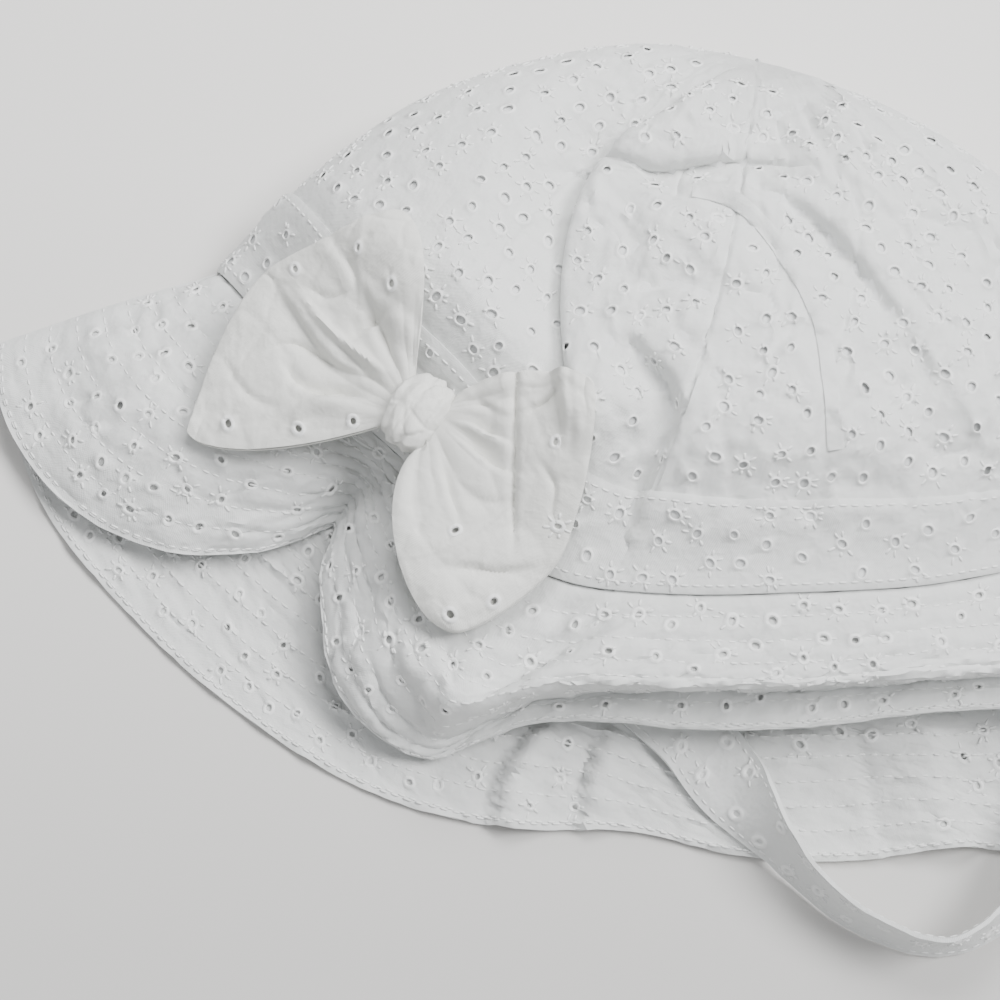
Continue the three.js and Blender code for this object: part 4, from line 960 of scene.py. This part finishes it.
# %% Bow loops
bow_pieces, bow_linings = [], []
row = np.arange(2 * LOOP_ALONG + 1) - LOOP_ALONG
out, layer = 1 - np.abs(row) / LOOP_ALONG, np.sign(row)
top = (layer > 0)[:, None]
reach = np.sin(out * np.pi / 2)
across = np.linspace(0, 1, LOOP_ACROSS + 1)
closed = 1 - 0.5 * np.abs(2 * across - 1)[None] ** 6
around = np.array([(0, 0), (1, 0), (-1, 0), (0, 1), (0, -1)]) * LOOP_MARGIN


def blurred(heights):
    return np.convolve(np.pad(heights, 2, mode="edge"), np.array([1, 4, 6, 4, 1]) / 16, "valid")


for name, (side, lower, upper, puff, far) in BOW_LOOPS.items():
    mouth = knot_centre + bow_axis * side * (KNOT["length"] / 2 - 1)
    start = mouth + (across[:, None] - 0.5) * LOOP_MOUTH * bow_across
    grid = lerp(start[None], curve(far, across)[None], reach[:, None, None])
    for (x, y, power), sharpness in ((lower, 1 - 2 * across), (upper, 2 * across - 1)):
        swell = np.sin(np.pi * out**power)[:, None] * np.maximum(sharpness, 0)[None] ** 2
        grid += swell[..., None] * np.array([x, y, 0.0])
    rest = [max(height_of(hat_skin, x + dx, y + dy) for dx, dy in around) for x, y, _ in grid.reshape(-1, 3)]
    rest = np.array(rest).reshape(grid.shape[:2])
    for axis in (0, 1):
        rest = np.apply_along_axis(blurred, axis, rest)
    rest += LOOP_CLEARANCE
    grid[..., 2] = np.maximum(grid[..., 2] - LOOP_LAYERS / 2, rest) + LOOP_LAYERS / 2
    wander = 0.25 * np.sin(3 * np.pi * out)[:, None]
    folds = np.abs(np.sin(4.5 * np.pi * across[None] + wander + side))
    folds = folds + 0.5 * np.abs(np.sin(8 * np.pi * across[None] + 2 * wander))
    near_knot = (np.sin(np.pi * np.minimum(1, 2.6 * out)) * (out < 0.9))[:, None]
    gather = LOOP_GATHER * (folds - 0.9) * near_knot
    puffed = puff * np.sin(np.pi * out)[:, None] * (1 - (2 * across - 1) ** 4)[None]
    raised = np.where(top, puffed + gather * (1 - out)[:, None], 0)
    grid[..., 2] += layer[:, None] * LOOP_LAYERS / 2 * closed + raised
    small = 0.6 * ripples(grid, 12, 31, (1, 1, 0.2)) + 0.16 * ripples(grid, 4, 32, (1, 1, 0.2))
    small += pressed(grid, LOOP_LINES, (1, 1, 0))
    change = LOOP_CREASED * crease_shift(BOW_CREASES[name], grid[..., :2])[..., 2] + small
    grid[..., 2] += np.where(top, change * smooth(reach * 3)[:, None], 0)
    normals = grid_normals(grid)
    # the lining lies deeper towards the lower cut side, where the loop is flattest
    sunk = 0.42 + 0.9 * smooth((0.45 - across) / 0.15)
    if normals[-LOOP_ALONG // 2, LOOP_ACROSS // 2, 2] < 0:
        grid, sunk = grid[:, ::-1], sunk[::-1]
        normals = grid_normals(grid)
    picked = pick_eyelets(grid, normals, SPACING["bow"], 90 + side)
    bow_pieces.append(make_sheet(name, 0.6, 0, grid, normals, *picked))
    under = (grid - normals * sunk[None, :, None])[LOOP_ALONG + 8 :, 2:-2]
    bow_linings.append(lining(name.replace("cloth", "lining"), under, 0.25))

# %% Bow knot
SIDES, RINGS = 128, 44
KNOT_LINES = [(0.5, 6, 0.5, 43), (-0.6, 8, 0.5, 44)]
KNOT_WEAVE = (0.0004, 0.00035)

turn = np.arange(SIDES) / SIDES * 2 * np.pi
along = np.linspace(-1, 1, RINGS)[:, None]
wander = 0.9 * np.sin(2 * turn + 0.6) + 0.5 * np.sin(3 * turn + 2)
pleat = 1 + 0.07 * np.abs(np.sin(5.2 * along + wander))
pleat = pleat - 0.05 * np.exp(-((np.sin(3.1 * along - wander) / 0.2) ** 2))
barrel = (0.62 + 0.38 * np.sqrt(1 - (along * 0.9) ** 2)) * pleat
pinch = 1 - 0.3 * smooth((np.abs(along) - 0.8) / 0.2)
centre_line = knot_centre + (along * KNOT["length"] / 2)[..., None] * bow_axis
knot_grid = (
    centre_line
    + (np.cos(turn) * barrel * pinch * KNOT["width"] / 2)[..., None] * bow_across
    + (np.sin(turn) * barrel * pinch * KNOT["height"] / 2)[..., None] * bow_up
)
crumple = 1.2 * ripples(knot_grid, 8, 41) + 0.3 * ripples(knot_grid, 2.6, 42)
crumple += pressed(knot_grid, KNOT_LINES, (1, 1, 1))
knot_grid = knot_grid + unit(knot_grid - centre_line) * crumple[..., None]
knot_points = np.vstack([knot_grid.reshape(-1, 3), centre_line[0], centre_line[-1]])
knot_faces = []
for j in range(RINGS - 1):
    for i in range(SIDES):
        a, b = j * SIDES + i, j * SIDES + (i + 1) % SIDES
        knot_faces.append((a, b, b + SIDES, a + SIDES))
end, last_ring = RINGS * SIDES, (RINGS - 1) * SIDES
for i in range(SIDES):
    n = (i + 1) % SIDES
    knot_faces += [(n, i, end), (last_ring + i, last_ring + n, end + 1)]
knot_mesh = bpy.data.meshes.new("bow_knot_cloth")
knot_mesh.from_pydata((knot_points * MM).tolist(), [], knot_faces)
knot_uv = knot_mesh.uv_layers.new(name="cloth")
for loop in knot_mesh.loops:
    j, i = divmod(loop.vertex_index, SIDES)
    knot_uv.data[loop.index].uv = (i * KNOT_WEAVE[0], j * KNOT_WEAVE[1])
knot = add_piece("bow_knot_cloth", knot_mesh)
edit_all(bpy.ops.mesh.normals_make_consistent, inside=False)
bpy.ops.object.shade_smooth()

# %% [markdown]
# ## Stitches and petals
# One stitch is a small flattened ellipsoid. It is modelled once from a sphere and copied along each row, laid
# on the cloth with its length along the row. The petals of the embroidery round the eyelets are the same
# thing, a little wider. All copies of a row become one piece.

# %% One stitch
bpy.ops.object.select_all(action="DESELECT")
bpy.ops.mesh.primitive_uv_sphere_add(segments=5, ring_count=3, radius=1)
stitch_pattern = bpy.context.object
edit_all(bpy.ops.transform.rotate, value=math.pi / 2, orient_axis="Y", center_override=(0, 0, 0))
stitch_points = np.array([v.co[:] for v in stitch_pattern.data.vertices])
stitch_faces = [tuple(face.vertices) for face in stitch_pattern.data.polygons]
bpy.data.objects.remove(stitch_pattern)
print("one stitch:", len(stitch_faces), "faces")


def sew(name, copies):
    """One piece of many stitches. A copy is its place, direction, normal, and length, width and height."""
    place, run, normal, size = (np.array([copy[k] for copy in copies], float) for k in range(4))
    normal = unit(normal)
    side = unit(np.cross(normal, run))
    parts = stitch_points[None] * (size / 2)[:, None]
    points = place[:, None]
    for k, axis in enumerate((np.cross(side, normal), side, normal)):
        points = points + parts[..., k : k + 1] * axis[:, None]
    count = len(stitch_points)
    faces = [tuple(v + count * k for v in face) for k in range(len(copies)) for face in stitch_faces]
    mesh = bpy.data.meshes.new(name)
    mesh.from_pydata((points.reshape(-1, 3) * MM).tolist(), [], faces)
    piece = add_piece(name, mesh)
    bpy.ops.object.shade_smooth()
    print(f"{name}: {len(copies)} stitches")
    return piece


STITCH_WIDTH, STITCH_HEIGHT = 0.62, 0.55
# how high each row's stitches lie above the middle of its grid
BRIM_LIFT, BAND_LIFT, STRAP_LIFT = 0.68, 0.06, 0.52
# distance of the last row from the brim's edge
EDGE_ROW = 1.6


def row_stitches(line, normals, lift, seed, pitch=3.1, length=2.3):
    """Stitches along a line of points on the cloth."""
    rng = np.random.default_rng(seed)
    lengths = distances(line)

    def along_row(where, rows):
        return np.array([np.interp(where, lengths, rows[:, k]) for k in range(3)])

    copies = []
    for where in np.arange(pitch / 2, lengths[-1] - pitch / 2, pitch):
        where += rng.normal(0, 0.12)
        here, ahead = along_row(where - 0.9, line), along_row(where + 0.9, line)
        normal = along_row(where, normals)
        run = ahead - here + rng.normal(0, 0.05, 3)
        size = (length * rng.uniform(0.85, 1.1), STITCH_WIDTH, STITCH_HEIGHT)
        copies.append(((here + ahead) / 2 + normal * lift, run, normal, size))
    return copies


def grid_row(grid, normals, share):
    """A line of a grid at a share of its rings, with its normals."""
    place = share * (len(grid) - 1)
    j = min(int(place), len(grid) - 2)
    return lerp(grid[j], grid[j + 1], place - j), lerp(normals[j], normals[j + 1], place - j)


# %% Rows of stitches
# share of the way out, side of the cloth and seed of each row: all on the one side, every second on the other
sewn = [(row * QUILT_PITCH / BRIM_WIDTH, 1, row) for row in range(1, int(BRIM_WIDTH / QUILT_PITCH) + 1)]
sewn.append((1 - EDGE_ROW / BRIM_WIDTH, 1, 50))
sewn += [(share, -1, 60 + row) for share, _, row in sewn[:-1:2]]
brim_stitches = []
for half, (grid, normals) in enumerate(halves):
    for share, face, seed in sewn:
        line, normal = grid_row(grid[::-1], normals[::-1], share)
        normal = normal * (-face if half else face)
        brim_stitches += row_stitches(line, normal, BRIM_LIFT, 100 * half + seed)
brim_rows_piece = sew("brim_stitches", brim_stitches)

band_stitches = []
for share, seed in ((0.09, 5), (0.93, 6)):
    line, normal = grid_row(band_grid, band_normals, share)
    band_stitches += row_stitches(line, normal, BAND_LIFT, seed, pitch=2.9, length=2.1)
band_rows_piece = sew("band_stitches", band_stitches)

strap_stitches = []
for share in (0.09, 0.91):
    for side in (1, -1):
        line, normal = grid_row(strap_grid, strap_normals, share)
        strap_stitches += row_stitches(line, normal * side, STRAP_LIFT, int(share * 100) + side)
strap_rows_piece = sew("strap_stitches", strap_stitches)

# %% Petals
# share of the eyelets that have petals, on the bow and elsewhere, and that have seven and not six
BOW_FLOWERS, FLOWERS, SEVEN = 0.12, 0.6, 0.3
# pieces that lie on the table, where petals would stand in it
BARE = "crown_panel_5", "crown_panel_6"
PETAL_SUNK = 0.06
flowers = {}
rng = np.random.default_rng(8)
for name, centre, normal, size, chance, turned in embroidery:
    if chance > (BOW_FLOWERS if name.startswith("bow") else FLOWERS) or name in BARE:
        continue
    petals = 7 if chance < SEVEN else 6
    across = np.cross(normal, (0.3, 0.5, 0.8))
    across /= np.linalg.norm(across)
    other = np.cross(normal, across)
    for k in range(petals):
        angle = turned + 2 * math.pi * k / petals + rng.normal(0, 0.16)
        run = across * math.cos(angle) + other * math.sin(angle)
        long = rng.uniform(1.2, 2.2)
        place = centre + run * (RIM[0][0] * size + 0.05 + long / 2)
        if rng.random() < 0.88:
            size_of = (long, rng.uniform(0.55, 0.9), rng.uniform(0.5, 0.8))
            flowers.setdefault(name, []).append((place, run, normal, size_of))

petal_copies = {f"{part}_petals": [] for part in ("crown", "band", "brim", "bow", "strap")}
for name, copies in flowers.items():
    skin = skin_of([bpy.data.objects[name]])
    part = name.split("_")[0]
    group = petal_copies[{"hat": "band", "chin": "strap"}.get(part, part) + "_petals"]
    for place, run, normal, size in copies:
        spot, facing = skin.find_nearest(Vector(place + normal * 1.2))[:2]
        if spot is None or (spot - Vector(place)).length > 1.6:
            continue
        facing = np.array(facing)
        group.append((np.array(spot) + facing * PETAL_SUNK, run, facing, size))
petal_pieces = {name: sew(name, copies) for name, copies in petal_copies.items() if copies}

# %% [markdown]
# ## Cotton
# White cotton is matt, and its weave shows only as a fine tooth. The colour varies by a few per cent with
# slow noise, and the bump adds the weave, thread by thread along the cloth's own UV map, and a soft crinkle.

# %% Shader helper
class Field:
    """A shader socket that adds Math nodes when it is used in arithmetic."""

    def __init__(self, nodes, socket=None):
        self.nodes, self.socket = nodes, socket

    def out(self, kind, inputs, output=0, **settings):
        """An output of a new node, with some of its inputs set or linked."""
        node = self.nodes.new(kind)
        for key, value in settings.items():
            setattr(node, key, value)
        for key, value in inputs.items():
            if isinstance(value, Field):
                value.into(node.inputs[key])
            else:
                node.inputs[key].default_value = value
        return Field(self.nodes, node.outputs[output])

    def into(self, socket):
        self.nodes.id_data.links.new(self.socket, socket)

    def noise(self, where, scale, detail=2.0):
        return self.out("ShaderNodeTexNoise", {"Vector": where, "Scale": scale, "Detail": detail})

    def math(self, operation, other=0.0):
        return self.out("ShaderNodeMath", {0: self, 1: other}, operation=operation)

    def __add__(self, other):
        return self.math("ADD", other)

    def __mul__(self, other):
        return self.math("MULTIPLY", other)

    def __sub__(self, other):
        return self.math("SUBTRACT", other)


# places of a colour Mix node's two colours and of its result
MIX_A, MIX_B, MIX_RESULT = 6, 7, 2
THREAD = 0.00042
# how high the threads, the crinkle and its sharp lines stand, in metres
THREADS, CRINKLE, FOLDED = 0.00004, 0.00034, -0.0009


def start_material(name, roughness):
    """A material with its shader, a Field that makes its nodes and its Object coordinates."""
    material = bpy.data.materials.new(name)
    material.use_nodes = True
    nodes = material.node_tree.nodes
    shader = nodes["Principled BSDF"].inputs
    shader["Roughness"].default_value = roughness
    root = Field(nodes)
    return material, shader, root, root.out("ShaderNodeTexCoord", {}, "Object")


def colour_by(factor, shader, colour, darkest):
    """Gives a shader its colour, times darkest where factor is 0."""
    ends = {MIX_A: (*(c * darkest for c in colour), 1), MIX_B: (*colour, 1)}
    mix = factor.out("ShaderNodeMix", {"Factor": factor, **ends}, MIX_RESULT, data_type="RGBA")
    mix.into(shader["Base Color"])


def cotton(name, colour):
    """Woven cotton in a colour."""
    material, shader, root, where = start_material(name, 0.86)
    crinkle = root.noise(where, 420.0, 3.0)
    colour_by(root.noise(where, 28.0) * 0.5 + crinkle * 0.5, shader, colour, 0.955)
    split = {"Vector": root.out("ShaderNodeUVMap", {}, uv_map="cloth")}
    warp, weft = (root.out("ShaderNodeSeparateXYZ", split, k) * (2 * math.pi / THREAD) for k in (0, 1))
    folds = (root.noise(where, 190.0) - 0.5).math("ABSOLUTE")
    height = warp.math("SINE") * weft.math("SINE") * THREADS + crinkle * CRINKLE + folds * FOLDED
    root.out("ShaderNodeBump", {"Strength": 0.75, "Distance": 1.0, "Height": height}).into(shader["Normal"])
    shader["Sheen Weight"].default_value = 0.12
    shader["Specular IOR Level"].default_value = 0.25
    return material


def plain(name, colour, roughness, darkest, scale=4.0, painted_shade_span=None):
    """A matt surface whose colour varies slowly with noise, or, as a painted shade, grows darker from one y
    towards another.
    """
    material, shader, root, where = start_material(name, roughness)
    # painted shade: the colour darkens from the second y towards the first, standing in for light that falls
    # off
    if painted_shade_span:
        y = root.out("ShaderNodeSeparateXYZ", {"Vector": where}, 1)
        factor = (y - painted_shade_span[0]) * (1 / (painted_shade_span[1] - painted_shade_span[0]))
    else:
        factor = root.noise(where, scale)
    colour_by(factor, shader, colour, darkest)
    return material


# %% Materials
hat_cotton = cotton("hat_cotton", (0.81, 0.82, 0.81))
bow_cotton = cotton("bow_cotton", (0.835, 0.835, 0.80))
lining_cotton = cotton("lining_cotton", (0.815, 0.825, 0.825))
thread_white = plain("thread_white", (0.90, 0.905, 0.895), 0.5, 0.98, scale=300.0)
# The table's colour is painted about a quarter darker towards -y, the bottom of the view: a painted shade of
# the light falling off towards the brim.
table_white_painted_shade = plain("table_white_painted_shade", (0.815, 0.80, 0.78), 0.6, 0.76, painted_shade_span=(-0.12, 0.08))
table.data.materials.append(table_white_painted_shade)


def dress(pieces, material, slot, *nodes):
    """Gives pieces a material, lets them ride with the hat and hides the solids that they stand for."""
    for piece in pieces:
        piece.data.materials.append(material)
        if max(face.material_index for face in piece.data.polygons) > 0:
            piece.data.materials.append(thread_white)
        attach(piece, "root")
        if nodes:
            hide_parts(*nodes)


dress(crown_pieces[1:3], hat_cotton, "cotton", "crown_front")
dress(crown_pieces[4:], hat_cotton, "cotton", "crown_back")
dress([crown_pieces[0], crown_pieces[3]], hat_cotton, "cotton", "crown_front", "crown_back")
dress([crown_lining], lining_cotton, "cotton", "crown_front", "crown_back")
dress([panel_edge_piece], hat_cotton, "cotton", "crown_front")
dress([band], hat_cotton, "cotton", "hat_band")
dress([band_lining], lining_cotton, "cotton", "hat_band")
dress([brim_front, brim_facings[0]], hat_cotton, "cotton", "brim_front")
dress([brim_back, brim_facings[1]], hat_cotton, "cotton", "brim_back")
dress([strap, strap_core], hat_cotton, "cotton", "chin_strap")
dress([bow_pieces[0], bow_linings[0]], bow_cotton, "bow_cotton", "bow_left_loop")
dress([bow_pieces[1], bow_linings[1]], bow_cotton, "bow_cotton", "bow_right_loop")
dress([knot], bow_cotton, "bow_cotton", "bow_knot")
dress([brim_rows_piece, band_rows_piece, strap_rows_piece], thread_white, "cotton")
for name, piece in petal_pieces.items():
    dress([piece], thread_white, "bow_cotton" if name.startswith("bow") else "cotton")


def sheet(piece, held, rests_on, *also):
    """Works out the two diagonals of each square of a piece's grid."""
    grid = cuts[piece.name]
    one, other = grid[1:, 1:] - grid[:-1, :-1], grid[1:, :-1] - grid[:-1, 1:]


backs = crown_pieces[4:]
for piece in backs:
    sheet(piece, "laid", ["table"])
for piece in crown_pieces[:4]:
    sheet(piece, "draped", backs, *[panel_edge_piece][: piece == crown_pieces[2]])
sheet(crown_lining, "folded", backs)
sheet(band, "stretched", crown_pieces)
sheet(band_lining, "stretched", crown_pieces)
sheet(brim_back, "laid", ["table"], brim_rows_piece)
sheet(brim_facings[1], "laid", [brim_back])
sheet(brim_front, "draped", [brim_facings[1]])
sheet(brim_facings[0], "draped", [brim_facings[1]])
for piece, under in zip(bow_pieces, bow_linings):
    sheet(piece, "gathered", [band, crown_pieces[1], brim_front])
    sheet(under, "gathered", [piece])
sheet(strap, "laid", [brim_back, "table"], strap_rows_piece)
sheet(strap_core, "laid", [strap])

# %% Sizes
visual_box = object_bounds()
for title, box in (("CAD box", cad_box), ("visual box", visual_box)):
    print(title, [[round(v, 4) for v in corner] for corner in box])
